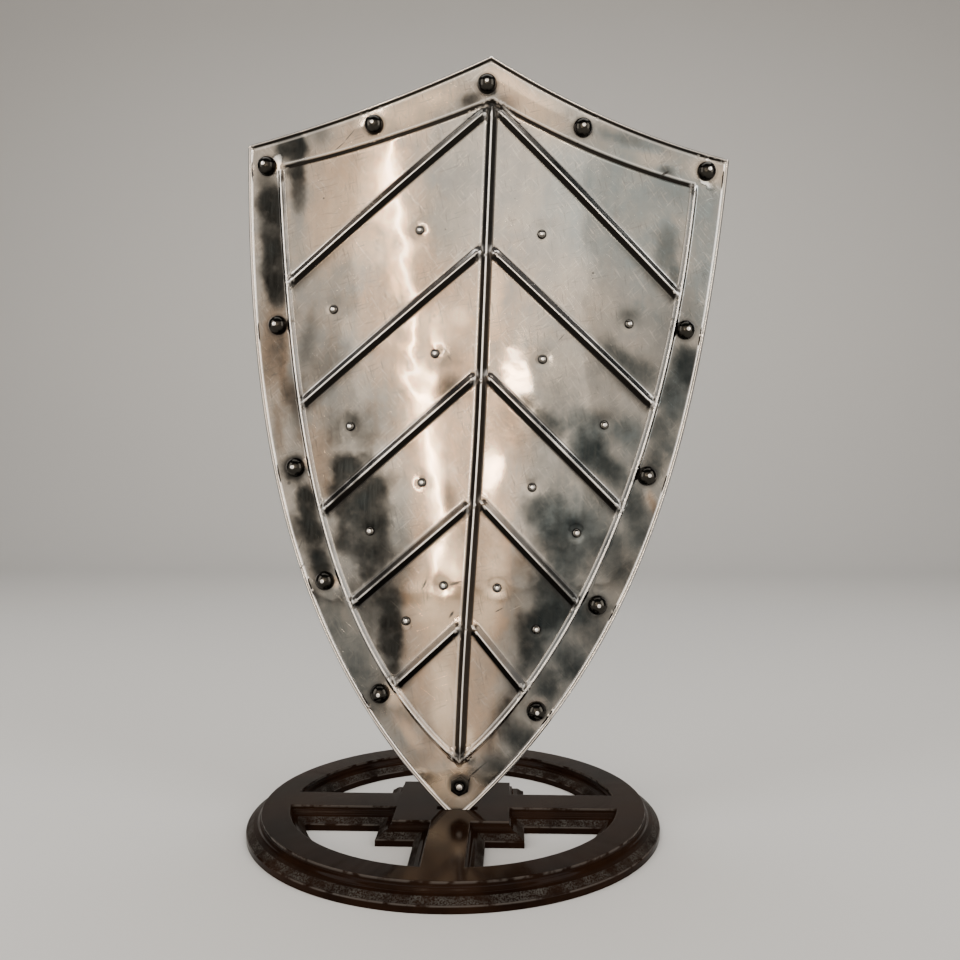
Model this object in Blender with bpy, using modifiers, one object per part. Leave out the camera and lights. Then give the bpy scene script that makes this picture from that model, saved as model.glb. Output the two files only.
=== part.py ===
"""Heater shield of pressed and riveted steel plate, standing in a slot in a black wooden ring stand.

Metres, +Z up. The origin is the centre of the ring on the ground, and the shield faces -Y.
The shield is laid out flat in its own plane: u runs to its right, v up from the stand's top,
and h forward out of the plate.
"""

import math

import bmesh
import bpy
from mathutils import Matrix, Vector
from mathutils.geometry import delaunay_2d_cdt

# Where the shield stands, and how it leans.
FOOT = Vector((0.004, -0.020, 0.018))
LEAN_SIDE = math.radians(2.2)
LEAN_BACK = math.radians(2.0)
BOW = 0.5  # the plate falls back by BOW * u * u towards its sides

# The sheet and what is pressed in it.
SHEET = 0.0015
RIM = 0.0062  # width of the rolled rim, and its thickness
FOOT_V = -0.0095  # the blunt point, inside the slot
APEX = (0.004, 0.670)
SIDES = {
    "left": {
        "edge": [(-0.219, 0.592), (-0.2075, 0.2925), (-0.146, 0.118), (0.0, -0.012)],
        "edge_sag": 0.0085,
        "border": [(-0.1865, 0.567), (-0.1615, 0.2955), (-0.119, 0.136), (0.0, 0.0445)],
        "top_border_end": (-0.181, 0.572),
        "top_border_sag": 0.0065,
        "chevrons": [(0.6235, 0.4665), (0.4905, 0.3525), (0.380, 0.255), (0.265, 0.1715), (0.1625, 0.1045)],
        "studs": [(0.054, 0.52), (0.130, 0.48), (0.036, 0.49), (0.110, 0.485),
                  (0.043, 0.53), (0.088, 0.50), (0.020, 0.505), (0.052, 0.48)],
        "rivets": [(0.100, 0.6075), (0.200, 0.5725), (0.1825, 0.425), (0.1595, 0.2955), (0.1275, 0.1945),
                   (0.073, 0.097)],
    },
    "right": {
        "edge": [(0.223, 0.591), (0.2025, 0.3045), (0.1485, 0.1315), (0.0, -0.012)],
        "edge_sag": 0.0125,
        "border": [(0.192, 0.565), (0.172, 0.3255), (0.102, 0.132), (0.0, 0.0445)],
        "top_border_end": (0.191, 0.5645),
        "top_border_sag": 0.008,
        "chevrons": [(0.633, 0.4655), (0.502, 0.364), (0.390, 0.270), (0.279, 0.1855), (0.1805, 0.1045)],
        "studs": [(0.055, 0.445), (0.136, 0.41), (0.060, 0.555), (0.117, 0.50),
                  (0.055, 0.51), (0.096, 0.495), (0.0275, 0.48), (0.0635, 0.535)],
        "rivets": [(0.088, 0.609), (0.202, 0.5785), (0.1875, 0.433), (0.1575, 0.300), (0.117, 0.1835),
                   (0.0665, 0.088)],
    },
}
RIB_TOP = (0.004, 0.629)
RIB_FOOT = (0.0, 0.0445)
TOP_RIVET = (0.001, 0.645)
TIP_BOLT = (0.0015, 0.0205)

# Pressed ribs: half the width at the foot, half the flat crest, and the height.
CENTRE_RIB = (0.0060, 0.0012, 0.0045)
CHEVRON_RIB = (0.0058, 0.0010, 0.0040)
BORDER_RIB = (0.0036, 0.0008, 0.0030)
CHEVRON_GAP = 0.0085  # a chevron starts this far from the centre rib's crest

# Fasteners: radius and height of the head, radius of the shank, radius and height of the tail.
RIVET = {"head": 0.0088, "rise": 0.0080, "shank": 0.0022, "tail": 0.0042, "tail_rise": 0.0022}
STUD = {"head": 0.0041, "rise": 0.0030, "shank": 0.0013, "tail": 0.0024, "tail_rise": 0.0012}
BOLT_SHANK = 0.0040
BOLT_PROUD = 0.0022  # the bolt's round end past the nut
BOLT_HEAD = (0.0068, 0.0050)
NUT_FLATS = 0.0150
NUT_HEIGHT = 0.0060
GAP = 0.0003  # between touching pieces

# The stand: a routed board of even thickness.
BOARD = 0.018
RING_OUTER = 0.170
RING_INNER = 0.1455
PAD_HALF = 0.050
ARM_HALF = 0.017
ARM_REACH = 0.156
SLOT = (0.036, 0.0082, 0.0100)
# The moulding of every edge: how far it stands out of the top face, and its height above the ground.
MOULDING = [(0.0, 0.0180), (0.0, 0.0144), (0.0018, 0.0138), (0.0034, 0.0112), (0.0070, 0.0100),
            (0.0112, 0.0064), (0.0130, 0.0054), (0.0130, 0.0)]

# Spacing of the mesh.
STEP = 0.033
FILL = 0.040
RIM_LINES = (0.3, 0.7, 1.0)  # shares of the rim's width
HOLE_SIDES = 8
CAP_TURNS = (-45, 0, 45)  # degrees, the corners of a rib's round end
RIVET_SIDES = 12
STUD_SIDES = 8
RING_SIDES = 40


def collection(name):
    made = bpy.data.collections.new(name)
    bpy.context.scene.collection.children.link(made)
    return made


def material(name, colour, metallic, roughness):
    made = bpy.data.materials.new(name)
    made.use_nodes = True
    shader = made.node_tree.nodes["Principled BSDF"]
    shader.inputs["Base Color"].default_value = (*colour, 1.0)
    shader.inputs["Metallic"].default_value = metallic
    shader.inputs["Roughness"].default_value = roughness
    return made


def add_object(name, mesh, home, finish, parent=None):
    made = bpy.data.objects.new(name, mesh)
    home.objects.link(made)
    mesh.materials.clear()
    mesh.materials.append(finish)
    made.parent = parent
    return made


def mesh_from(name, mesh_builder):
    mesh = bpy.data.meshes.new(name)
    mesh_builder.to_mesh(mesh)
    mesh_builder.free()
    return mesh


# --- the shield's layout, in the flat ---


def bezier(points, t):
    points = [Vector(point) for point in points]
    while len(points) > 1:
        points = [a.lerp(b, t) for a, b in zip(points, points[1:])]
    return points[0]


def length(line):
    return sum((b - a).length for a, b in zip(line, line[1:]))


def sample(points, step=STEP):
    """Even points along the Bezier curve of these control points."""
    fine = [bezier(points, i / 200) for i in range(201)]
    count = max(2, round(length(fine) / step))
    wanted = length(fine) / count
    line = [fine[0]]
    run = 0.0
    for a, b in zip(fine, fine[1:]):
        run += (b - a).length
        if run >= wanted * len(line) and len(line) < count:
            line.append(b)
    return line + [fine[-1]]


def sagging(start, end, sag):
    """Control points of a line that hangs below its chord by sag at the middle."""
    middle = (Vector(start) + Vector(end)) / 2
    return [start, middle - Vector((0.0, 2 * sag)), end]


def outline():
    """The plate's edge, from the point up the right side, over the apex and down the left."""
    left, right = SIDES["left"], SIDES["right"]
    up = sample(right["edge"])[::-1]
    over = sample(sagging(right["edge"][0], APEX, right["edge_sag"]))
    back = sample(sagging(APEX, left["edge"][0], left["edge_sag"]))
    down = sample(left["edge"])
    return up + over[1:] + back[1:] + down[1:-1]


def blunted(loop):
    """The outline with its sharp point cut off level inside the slot."""
    point, first, last = loop[0], loop[1], loop[-1]
    right = point.lerp(first, (FOOT_V - point.y) / (first.y - point.y))
    left = point.lerp(last, (FOOT_V - point.y) / (last.y - point.y))
    return [right] + loop[1:] + [left]


def mitre(before, here, after):
    """Offset that moves a corner so that both of its edges move left by one."""
    ahead = (after - here).normalized()
    behind = (here - before).normalized()
    across = Vector((-ahead.y - behind.y, ahead.x + behind.x)).normalized()
    return across / max(0.3, across.dot(Vector((-ahead.y, ahead.x))))


def inset(loop, distance):
    around = [loop[-1]] + loop + [loop[0]]
    return [here + distance * mitre(a, here, b) for a, here, b in zip(around, loop, around[2:])]


def border_u(side, v):
    """Where the border rib of a side crosses the height v."""
    low, high = 0.0, 1.0
    for _ in range(40):
        middle = (low + high) / 2
        if bezier(side["border"], middle).y > v:
            low = middle
        else:
            high = middle
    return bezier(side["border"], low).x


def rib_u(v):
    share = (v - RIB_FOOT[1]) / (RIB_TOP[1] - RIB_FOOT[1])
    return RIB_FOOT[0] + share * (RIB_TOP[0] - RIB_FOOT[0])


def chevron(side, ends):
    """Both ends of a chevron's crest, from beside the centre rib to the border rib."""
    inner = Vector((rib_u(ends[0]), ends[0]))
    outer = Vector((border_u(side, ends[1]), ends[1]))
    along = (outer - inner).normalized()
    start = inner + along * (CHEVRON_GAP / abs(along.x))
    return [start, outer]


def ribs():
    """Every pressed rib as its crest line and its section."""
    made = [(sample([RIB_TOP, RIB_FOOT]), CENTRE_RIB)]
    for side in SIDES.values():
        made.append((sample(side["border"]), BORDER_RIB))
        made.append((sample(sagging(RIB_TOP, side["top_border_end"], side["top_border_sag"])), BORDER_RIB))
        made += [(sample(chevron(side, ends)), CHEVRON_RIB) for ends in side["chevrons"]]
    return made


def height_on(side, u, ends):
    """The height of a chevron's crest at the distance u from the middle."""
    outer = abs(border_u(side, ends[1]))
    return ends[0] + (ends[1] - ends[0]) * u / outer


def stud_places():
    """Two studs in each band between two chevrons, each at its share of the band's height."""
    places = []
    for side in SIDES.values():
        turn = math.copysign(1.0, side["border"][0][0])
        for number, (u, share) in enumerate(side["studs"]):
            band = number // 2
            low = height_on(side, u, side["chevrons"][band + 1])
            high = height_on(side, u, side["chevrons"][band])
            places.append((turn * u, low + share * (high - low)))
    return places


def rivet_places():
    places = [TOP_RIVET]
    for side in SIDES.values():
        turn = math.copysign(1.0, side["border"][0][0])
        places += [(turn * u, v) for u, v in side["rivets"]]
    return places


# --- the plate ---


def distance_to(line, point):
    nearest = math.inf
    for a, b in zip(line, line[1:]):
        along = b - a
        share = max(0.0, min(1.0, (point - a).dot(along) / along.length_squared))
        nearest = min(nearest, (point - a - share * along).length)
    return nearest


def pressed(point, all_ribs):
    """How far the ribs push the sheet forward at a point."""
    rise = 0.0
    for line, (foot, crest, height) in all_ribs:
        off = distance_to(line, point)
        if off < foot:
            rise = max(rise, height * min(1.0, (foot - off) / (foot - crest)))
    return rise


def rim_rise(inward):
    """How far the rolled rim stands out of the sheet, by the distance in from the edge."""
    across = 2 * inward / RIM - 1
    return (RIM - SHEET) / 2 * math.sqrt(max(0.0, 1.0 - across ** 2))


def foot_loop(line, half):
    """Both feet of a rib, closed round its ends."""
    ahead = (line[1] - line[0]).normalized()
    behind = (line[-1] - line[-2]).normalized()
    whole = [line[0] - ahead] + line + [line[-1] + behind]
    across = [mitre(a, here, b) for a, here, b in zip(whole, line, whole[2:])]
    left = [here + half * side for here, side in zip(line, across)]
    right = [here - half * side for here, side in zip(line, across)]
    turns = [Matrix.Rotation(math.radians(-turn), 2) for turn in CAP_TURNS]
    end_cap = [line[-1] + half * (turn.inverted() @ behind) for turn in turns]
    start_cap = [line[0] - half * (turn.inverted() @ ahead) for turn in turns]
    return left + end_cap + right[::-1] + start_cap


class Layout:
    """Points and the edges between them, in the flat, for the triangulation."""

    def __init__(self):
        self.points = []
        self.edges = []

    def add(self, line, closed):
        first = len(self.points)
        self.points += line
        last = len(self.points) - 1
        self.edges += [(i, i + 1) for i in range(first, last)]
        if closed:
            self.edges.append((last, first))


def circle(centre, radius, sides):
    angles = [2 * math.pi * (i + 0.5) / sides for i in range(sides)]
    return [Vector((centre[0] + radius * math.cos(a), centre[1] + radius * math.sin(a))) for a in angles]


def holes():
    """Centre and radius of every hole in the plate."""
    made = [(Vector(place), RIVET["shank"] + 2 * GAP) for place in rivet_places()]
    made += [(Vector(place), STUD["shank"] + 2 * GAP) for place in stud_places()]
    return made + [(Vector(TIP_BOLT), BOLT_SHANK + 2 * GAP)]


def plate_mesh():
    sharp = outline()
    edge = blunted(sharp)
    rim_foot = inset(sharp, RIM)
    all_ribs = ribs()
    bored = holes()
    layout = Layout()
    layout.add(edge, True)
    for share in RIM_LINES:
        layout.add(inset(sharp, share * RIM), True)
    for line, (foot, _, _) in all_ribs:
        layout.add(line, False)
        layout.add(foot_loop(line, foot), True)
    for centre, radius in bored:
        layout.add(circle(centre, radius, HOLE_SIDES), True)
    closed_foot = rim_foot + [rim_foot[0]]
    tall = round(APEX[1] / FILL)
    wide = round(SIDES["right"]["edge"][0][0] / FILL)
    for row in range(tall):
        for column in range(-wide, wide + 1):
            point = Vector(((column + 0.5 * (row % 2)) * FILL, (row + 0.5) * FILL))
            clear_of_ribs = all(distance_to(line, point) > 2 * section[0] for line, section in all_ribs)
            clear_of_holes = all((centre - point).length > 3 * radius for centre, radius in bored)
            if clear_of_ribs and clear_of_holes and distance_to(closed_foot, point) > 2 * RIM:
                layout.points.append(point)
    face = [list(range(len(edge)))]
    points, _, triangles, _, _, _ = delaunay_2d_cdt(layout.points, layout.edges, face, 1, 1e-7)

    def in_a_hole(triangle):
        middle = sum((points[i] for i in triangle), Vector((0.0, 0.0))) / 3
        return any((middle - centre).length < radius * 0.9 for centre, radius in bored)

    triangles = [triangle for triangle in triangles if not in_a_hole(triangle)]
    closed_edge = sharp + [sharp[0]]
    builder = bmesh.new()
    front, back = [], []
    for point in points:
        rise = pressed(point, all_ribs)
        bead = rim_rise(distance_to(closed_edge, point))
        depth = BOW * point.x ** 2
        front.append(builder.verts.new((point.x, depth - SHEET / 2 - max(rise, bead), point.y)))
        back.append(builder.verts.new((point.x, depth + SHEET / 2 - rise + bead, point.y)))
    for a, b, c in triangles:
        builder.faces.new((front[a], front[b], front[c]))
        builder.faces.new((back[a], back[c], back[b]))
    counts = {}
    for a, b, c in triangles:
        for pair in ((a, b), (b, c), (c, a)):
            counts[pair] = counts.get(pair, 0) + 1
    for a, b in [pair for pair in counts if (pair[1], pair[0]) not in counts]:
        builder.faces.new((front[b], front[a], back[a], back[b]))
    bmesh.ops.delete(builder, geom=[v for v in builder.verts if not v.link_faces], context="VERTS")
    bmesh.ops.recalc_face_normals(builder, faces=builder.faces)
    mesh = mesh_from("shield_plate", builder)
    mesh.shade_smooth()
    mesh.set_sharp_from_angle(angle=math.radians(25))
    return mesh




# --- fasteners ---


def turned(name, profile, steps):
    """A turned solid about Z from a profile of (radius, height) points, top to bottom."""
    builder = bmesh.new()
    points = [builder.verts.new((radius, 0.0, height)) for radius, height in profile]
    for a, b in zip(points, points[1:]):
        builder.edges.new((a, b))
    mesh = mesh_from(name, builder)
    lathe = bpy.data.objects.new(name, mesh)
    bpy.context.scene.collection.objects.link(lathe)
    screw = lathe.modifiers.new("turn", "SCREW")
    screw.axis = "Z"
    screw.steps = screw.render_steps = steps
    screw.use_merge_vertices = True
    screw.merge_threshold = 0.00001
    screw.use_smooth_shade = True
    graph = bpy.context.evaluated_depsgraph_get()
    solid = bpy.data.meshes.new_from_object(lathe.evaluated_get(graph))
    bpy.data.objects.remove(lathe)
    solid.name = name
    solid.set_sharp_from_angle(angle=math.radians(40))
    return solid


def headed_profile(size, rings):
    """Domed head, shank through the sheet and upset tail, from the head's top down."""
    dome = []
    for ring in range(rings + 1):
        angle = 0.5 * math.pi * ring / rings
        dome.append((size["head"] * math.sin(angle), size["rise"] * math.cos(angle)))
    under = -(SHEET + 2 * GAP)
    return dome + [(size["shank"], 0.0), (size["shank"], under), (size["tail"], under),
                   (0.0, under - size["tail_rise"])]


def bolt_profile():
    top = GAP + NUT_HEIGHT + BOLT_PROUD
    head, rise = BOLT_HEAD
    under = -(SHEET + 2 * GAP)
    return [(0.0, top), (BOLT_SHANK * 0.6, top - 0.0004), (BOLT_SHANK, top - 0.0016), (BOLT_SHANK, under),
            (head, under), (head, under - 0.6 * rise), (0.7 * head, under - rise), (0.0, under - rise)]


def nut_mesh():
    """A plain hexagon, before it is bored for its bolt."""
    builder = bmesh.new()
    across_corners = NUT_FLATS / math.cos(math.pi / 6)
    half = NUT_HEIGHT / 2
    lift = Matrix.Translation((0.0, 0.0, half))
    bmesh.ops.create_cone(builder, cap_ends=True, segments=6, radius1=across_corners / 2,
                          radius2=across_corners / 2, depth=NUT_HEIGHT, matrix=lift)
    return mesh_from("tip_nut", builder)


def on_plate(place, lift):
    """Matrix that stands +Z out of the plate's front at a place, in the shield's own frame."""
    u, v = place
    out = Vector((2 * BOW * u, -1.0, 0.0)).normalized()
    up = Vector((0.0, 0.0, 1.0))
    side = up.cross(out)
    turn = Matrix((side, up, out)).transposed().to_4x4()
    at = Vector((u, BOW * u * u, v)) + out * (SHEET / 2 + lift)
    return Matrix.Translation(at) @ turn


# --- the stand ---


def ring_mesh():
    outer = [(RING_OUTER + out, height) for out, height in MOULDING]
    inner = [(RING_INNER - out, height) for out, height in MOULDING[::-1]]
    return turned("ring", outer + inner + outer[:1], RING_SIDES)


def block_mesh(name, half_x, half_y, moulding=MOULDING):
    """A rectangular block whose four sides carry the moulding."""
    builder = bmesh.new()
    layers = []
    for out, height in moulding:
        x, y = half_x + out, half_y + out
        layers.append([builder.verts.new((a * x, b * y, height)) for a, b in ((1, -1), (1, 1), (-1, 1), (-1, -1))])
    for upper, lower in zip(layers, layers[1:]):
        for i in range(4):
            j = (i + 1) % 4
            builder.faces.new((upper[i], lower[i], lower[j], upper[j]))
    builder.faces.new(layers[0])
    builder.faces.new(layers[-1][::-1])
    return mesh_from(name, builder)


def boolean(target, tool, operation):
    change = target.modifiers.new(operation.lower(), "BOOLEAN")
    change.operation = operation
    change.solver = "EXACT"
    change.object = tool


def guide(name, mesh, home):
    made = bpy.data.objects.new(name, mesh)
    home.objects.link(made)
    made.hide_render = True
    made.display_type = "WIRE"
    return made


def build():
    for old in list(bpy.data.objects):
        bpy.data.objects.remove(old)
    parts = collection("heater_shield")
    cutters = collection("cutters")
    steel = material("shield_steel", (0.62, 0.59, 0.56), 1.0, 0.28)
    polished = material("polished_steel", (0.50, 0.49, 0.47), 1.0, 0.12)
    blackened = material("blackened_steel", (0.06, 0.055, 0.05), 1.0, 0.35)
    lacquer = material("black_lacquer", (0.012, 0.010, 0.009), 0.0, 0.30)

    pose = bpy.data.objects.new("shield_pose", None)
    parts.objects.link(pose)
    pose.matrix_world = (Matrix.Translation(FOOT) @ Matrix.Rotation(-LEAN_BACK, 4, "X")
                         @ Matrix.Rotation(LEAN_SIDE, 4, "Y"))

    add_object("shield_plate", plate_mesh(), parts, steel, pose)

    rivet = turned("border_rivet", headed_profile(RIVET, 3), RIVET_SIDES)
    for number, place in enumerate(rivet_places(), 1):
        made = add_object(f"border_rivet_{number:02d}", rivet, parts, polished, pose)
        made.matrix_local = on_plate(place, GAP)

    stud = turned("field_stud", headed_profile(STUD, 2), STUD_SIDES)
    for number, place in enumerate(stud_places(), 1):
        made = add_object(f"field_stud_{number:02d}", stud, parts, polished, pose)
        made.matrix_local = on_plate(place, GAP)

    bolt = add_object("tip_bolt", turned("tip_bolt", bolt_profile(), RIVET_SIDES), parts, polished, pose)
    bolt.matrix_local = on_plate(TIP_BOLT, GAP)
    nut = add_object("tip_nut", nut_mesh(), parts, blackened, pose)
    nut.matrix_local = on_plate(TIP_BOLT, GAP)
    bore_profile = [(0.0, 0.02), (BOLT_SHANK + GAP, 0.02), (BOLT_SHANK + GAP, -0.02), (0.0, -0.02)]
    bore = guide("nut_bore", turned("nut_bore", bore_profile, RIVET_SIDES), cutters)
    bore.parent = pose
    bore.matrix_local = on_plate(TIP_BOLT, GAP)
    boolean(nut, bore, "DIFFERENCE")

    stand = add_object("stand_base", ring_mesh(), parts, lacquer)
    for name, half_x, half_y in (("arm_across", ARM_REACH, ARM_HALF), ("arm_along", ARM_HALF, ARM_REACH),
                                 ("pad", PAD_HALF, PAD_HALF)):
        boolean(stand, guide(name, block_mesh(name, half_x, half_y), cutters), "UNION")
    slot_x, slot_y, slot_depth = SLOT
    straight = [(0.0, BOARD + slot_depth), (0.0, BOARD - slot_depth)]
    slot = guide("slot", block_mesh("slot", slot_x / 2, slot_y / 2, straight), cutters)
    slot.location = (FOOT.x, FOOT.y, 0.0)
    boolean(stand, slot, "DIFFERENCE")


build()
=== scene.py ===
"""Looks of a heater shield: hammered steel plate with pressed ribs, riveted border, black ring stand.

Metres, +Z up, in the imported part's own frame. The shield is laid out flat in its own plane:
u runs to its right, and v up from the stand's top.
"""

import math

import bmesh
import bpy
import numpy as np
from mathutils import Matrix, Vector, noise
from mathutils.geometry import delaunay_2d_cdt


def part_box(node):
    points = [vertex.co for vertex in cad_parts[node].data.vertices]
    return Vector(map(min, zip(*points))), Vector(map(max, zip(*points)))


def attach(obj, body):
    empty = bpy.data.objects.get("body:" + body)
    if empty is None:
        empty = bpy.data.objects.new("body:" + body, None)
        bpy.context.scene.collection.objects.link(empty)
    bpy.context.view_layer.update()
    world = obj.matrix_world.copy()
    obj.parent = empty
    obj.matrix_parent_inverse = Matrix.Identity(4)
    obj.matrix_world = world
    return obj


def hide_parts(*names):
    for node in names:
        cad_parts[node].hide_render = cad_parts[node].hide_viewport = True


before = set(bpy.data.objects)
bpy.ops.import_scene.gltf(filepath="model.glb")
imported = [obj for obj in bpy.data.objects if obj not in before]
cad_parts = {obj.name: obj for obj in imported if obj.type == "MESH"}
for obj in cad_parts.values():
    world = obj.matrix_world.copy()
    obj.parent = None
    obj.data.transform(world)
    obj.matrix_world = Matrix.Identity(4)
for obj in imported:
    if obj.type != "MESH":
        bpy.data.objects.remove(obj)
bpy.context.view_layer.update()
noise.seed_set(5)  # without a seed, noise_vector gives other values in every run

# --- driving dimensions, as in the solids, but with finer ribs ---

FOOT = Vector((0.004, -0.020, 0.018))  # where the point of the shield stands
LEAN_SIDE = math.radians(2.2)
LEAN_BACK = math.radians(2.0)
BOW = 0.5  # the plate falls back by BOW * u * u towards its sides
POSE = Matrix.Translation(FOOT) @ Matrix.Rotation(-LEAN_BACK, 4, "X") @ Matrix.Rotation(LEAN_SIDE, 4, "Y")

SHEET = 0.0015
RIM = 0.0062  # thickness of the rolled edge
FOOT_V = -0.0095  # the point is cut off level here
APEX = (0.004, 0.670)
# Each side's edge and border rib are curves from the top down; a chevron is its inner and outer height.
SIDES = {
    "left": {
        "edge": [(-0.219, 0.592), (-0.2075, 0.2925), (-0.146, 0.118), (0.0, -0.012)],
        "edge_sag": 0.0085,
        "border": [(-0.1865, 0.567), (-0.1615, 0.2955), (-0.119, 0.136), (0.0, 0.0405)],
        "top_border_end": (-0.181, 0.5705),
        "top_border_sag": 0.0062,
        "chevrons": [(0.6244, 0.4616), (0.4995, 0.3517), (0.3875, 0.2555), (0.273, 0.1735), (0.1665, 0.1040)],
    },
    "right": {
        "edge": [(0.223, 0.591), (0.2025, 0.3045), (0.1485, 0.1315), (0.0, -0.012)],
        "edge_sag": 0.0125,
        "border": [(0.192, 0.565), (0.177, 0.3255), (0.1005, 0.132), (0.0, 0.0405)],
        "top_border_end": (0.191, 0.563),
        "top_border_sag": 0.009,
        "chevrons": [(0.626, 0.4615), (0.499, 0.3620), (0.388, 0.268), (0.2763, 0.1825), (0.1665, 0.1050)],
    },
}
RIB_TOP_V = 0.6292  # the centre rib's ends
RIB_FOOT_V = 0.0425
RIB_FOOT_U = 0.0004
RIB_BEND = (0.08, 0.37, 0.0058)  # between these heights the centre rib steps this far to the right

# Pressed ribs: half the width at the foot, half the crest, and the height.
CENTRE_RIB = (0.0051, 0.0005, 0.0043)
CHEVRON_RIB = (0.0047, 0.0004, 0.0036)
BORDER_RIB = (0.0036, 0.0007, 0.0026)
TOP_RIB = (0.0030, 0.0006, 0.0008)
CHEVRON_GAP = 0.0050

RIVET = {"Head Radius": 0.0088, "Head Rise": 0.0080, "Shank Radius": 0.0022,
         "Tail Radius": 0.0042, "Tail Rise": 0.0022}
STUD = {"Head Radius": 0.0041, "Head Rise": 0.0030, "Shank Radius": 0.0013,
        "Tail Radius": 0.0024, "Tail Rise": 0.0012}
BOLT_SHANK = 0.0040
BOLT_PROUD = 0.0022
BOLT_HEAD = (0.0068, 0.0050)  # radius and rise
NUT_FLATS = 0.0150
NUT_HEIGHT = 0.0060
GAP = 0.0003  # between a fastener and the sheet

BOARD = 0.018
RING_OUTER = 0.170
RING_INNER = 0.1455
PAD_HALF = 0.050
ARM_HALF = 0.017
ARM_REACH = 0.156
SLOT = (0.036, 0.0082, 0.0100)  # length, width and depth


# --- camera, light and stage ---

STRIP_ROLL = 22.0  # the tall strip leans outwards towards its top


def aim(thing, target):
    thing.rotation_euler = (Vector(target) - thing.location).to_track_quat("-Z", "Y").to_euler()


def add_camera():
    data = bpy.data.cameras.new("camera")
    data.lens = 36.0
    data.sensor_width = 36.0
    camera = bpy.data.objects.new("camera", data)
    camera.location = (0.055, -0.862, 0.321)
    camera.rotation_euler = [math.radians(turn) for turn in (89.1, 0.0, 2.1)]
    bpy.context.scene.collection.objects.link(camera)
    bpy.context.scene.camera = camera


def add_light(name, place, target, size, radiance, colour, roll=0.0):
    """A soft box of a width and height, as bright as its radiance says, its top leaning left by roll."""
    data = bpy.data.lights.new(name, "AREA")
    data.shape = "RECTANGLE"
    data.size, data.size_y = size
    data.energy = radiance * math.pi * size[0] * size[1]
    data.color = colour
    light = bpy.data.objects.new(name, data)
    light.location = place
    aim(light, target)
    light.rotation_euler.rotate_axis("Z", math.radians(roll))
    bpy.context.scene.collection.objects.link(light)


def add_lights():
    """A broad soft studio, with a tall strip and two spots that the steel mirrors as bright marks."""
    warm_white, amber = (1.0, 0.90, 0.78), (1.0, 0.83, 0.64)
    add_light("overhead", (0.0, 0.5, 2.5), (0.0, 0.0, 0.0), (2.6, 1.8), 2.9, (1.0, 0.985, 0.96))
    for name, (x, y, z), size, radiance, colour, roll in (
        ("front_wide", (0.0, -3.1, 1.50), (5.6, 2.9), 1.15, warm_white, 0.0),
        ("front_near", (-0.2, -2.9, 1.10), (2.2, 1.7), 0.95, warm_white, 0.0),
        ("left_strip", (-0.617, -2.6, 0.96), (0.030, 1.75), 48.0, amber, STRIP_ROLL),
        ("upper_spot", (0.275, -2.6, 0.80), (0.24, 0.09), 19.0, amber, 0.0),
        ("lower_spot", (0.08, -2.6, 0.50), (0.11, 0.14), 19.0, amber, 0.0),
    ):
        add_light(name, (x, y, z), (x, 0.0, z), size, radiance, colour, roll)
    for name, way in (("left_side", -1), ("right_side", 1)):
        add_light(name, (1.9 * way, -1.1, 1.05), (0.0, -0.05, 0.4), (1.0, 2.0), 4.5, (1.0, 0.96, 0.91))
    world = bpy.data.worlds.new("studio")
    world.use_nodes = True
    world.node_tree.nodes["Background"].inputs["Color"].default_value = (0.09, 0.09, 0.092, 1.0)
    bpy.context.scene.world = world


def add_stage():
    """A pale floor that sweeps up behind."""
    wide, near, turn_at, bend, tall = 6.0, -5.0, 2.0, 0.8, 3.5
    line = [(near, 0.0), (turn_at, 0.0)]
    for step in range(1, 13):
        angle = 0.5 * math.pi * step / 12
        line.append((turn_at + bend * math.sin(angle), bend * (1 - math.cos(angle))))
    line.append((turn_at + bend, tall))
    builder = bmesh.new()
    rows = [[builder.verts.new((x, y, z)) for x in (-wide, wide)] for y, z in line]
    for a, b in zip(rows, rows[1:]):
        builder.faces.new((a[0], a[1], b[1], b[0]))
    floor = add_piece("floor", mesh_from("floor", builder))
    floor.data.shade_smooth()
    paper = new_material("floor_paper")
    shader = paper.node_tree.nodes["Principled BSDF"]
    shader.inputs["Base Color"].default_value = (0.72, 0.71, 0.69, 1.0)
    shader.inputs["Roughness"].default_value = 0.75
    floor.data.materials.append(paper)


# --- small helpers ---


def mesh_from(name, builder):
    mesh = bpy.data.meshes.new(name)
    builder.to_mesh(mesh)
    builder.free()
    return mesh


def add_piece(name, mesh):
    piece = bpy.data.objects.new(name, mesh)
    bpy.context.scene.collection.objects.link(piece)
    return piece


def new_material(name):
    made = bpy.data.materials.new(name)
    made.use_nodes = True
    return made


def store(mesh, name, values):
    """Keeps one number for each point of a mesh, for its material to read."""
    mesh.attributes.new(name, "FLOAT", "POINT").data.foreach_set("value", np.asarray(values, np.float32))


def smoothstep(low, high, x):
    """Zero at low and one at high, smoothly between, and level past them; low may be the larger."""
    share = np.clip((x - low) / (high - low), 0.0, 1.0)
    return share * share * (3 - 2 * share)


def fade(start, end, x):
    """One up to start, and nothing from end on."""
    return 1 - smoothstep(start, end, x)


def line_at(x, place, width):
    """One at a place, fading off to both sides of it."""
    return np.exp(-((x - place) / width) ** 2)


def soft_ramp(x, round_by):
    """Zero below zero and x above it, with a rounded turn."""
    return round_by * np.logaddexp(0.0, x / round_by)


# --- the shield's layout, in the flat ---

ALONG = 0.0030  # spacing of points along edges and ribs


def bezier(points, t):
    points = [Vector(point) for point in points]
    while len(points) > 1:
        points = [a.lerp(b, t) for a, b in zip(points, points[1:])]
    return points[0]


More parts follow.
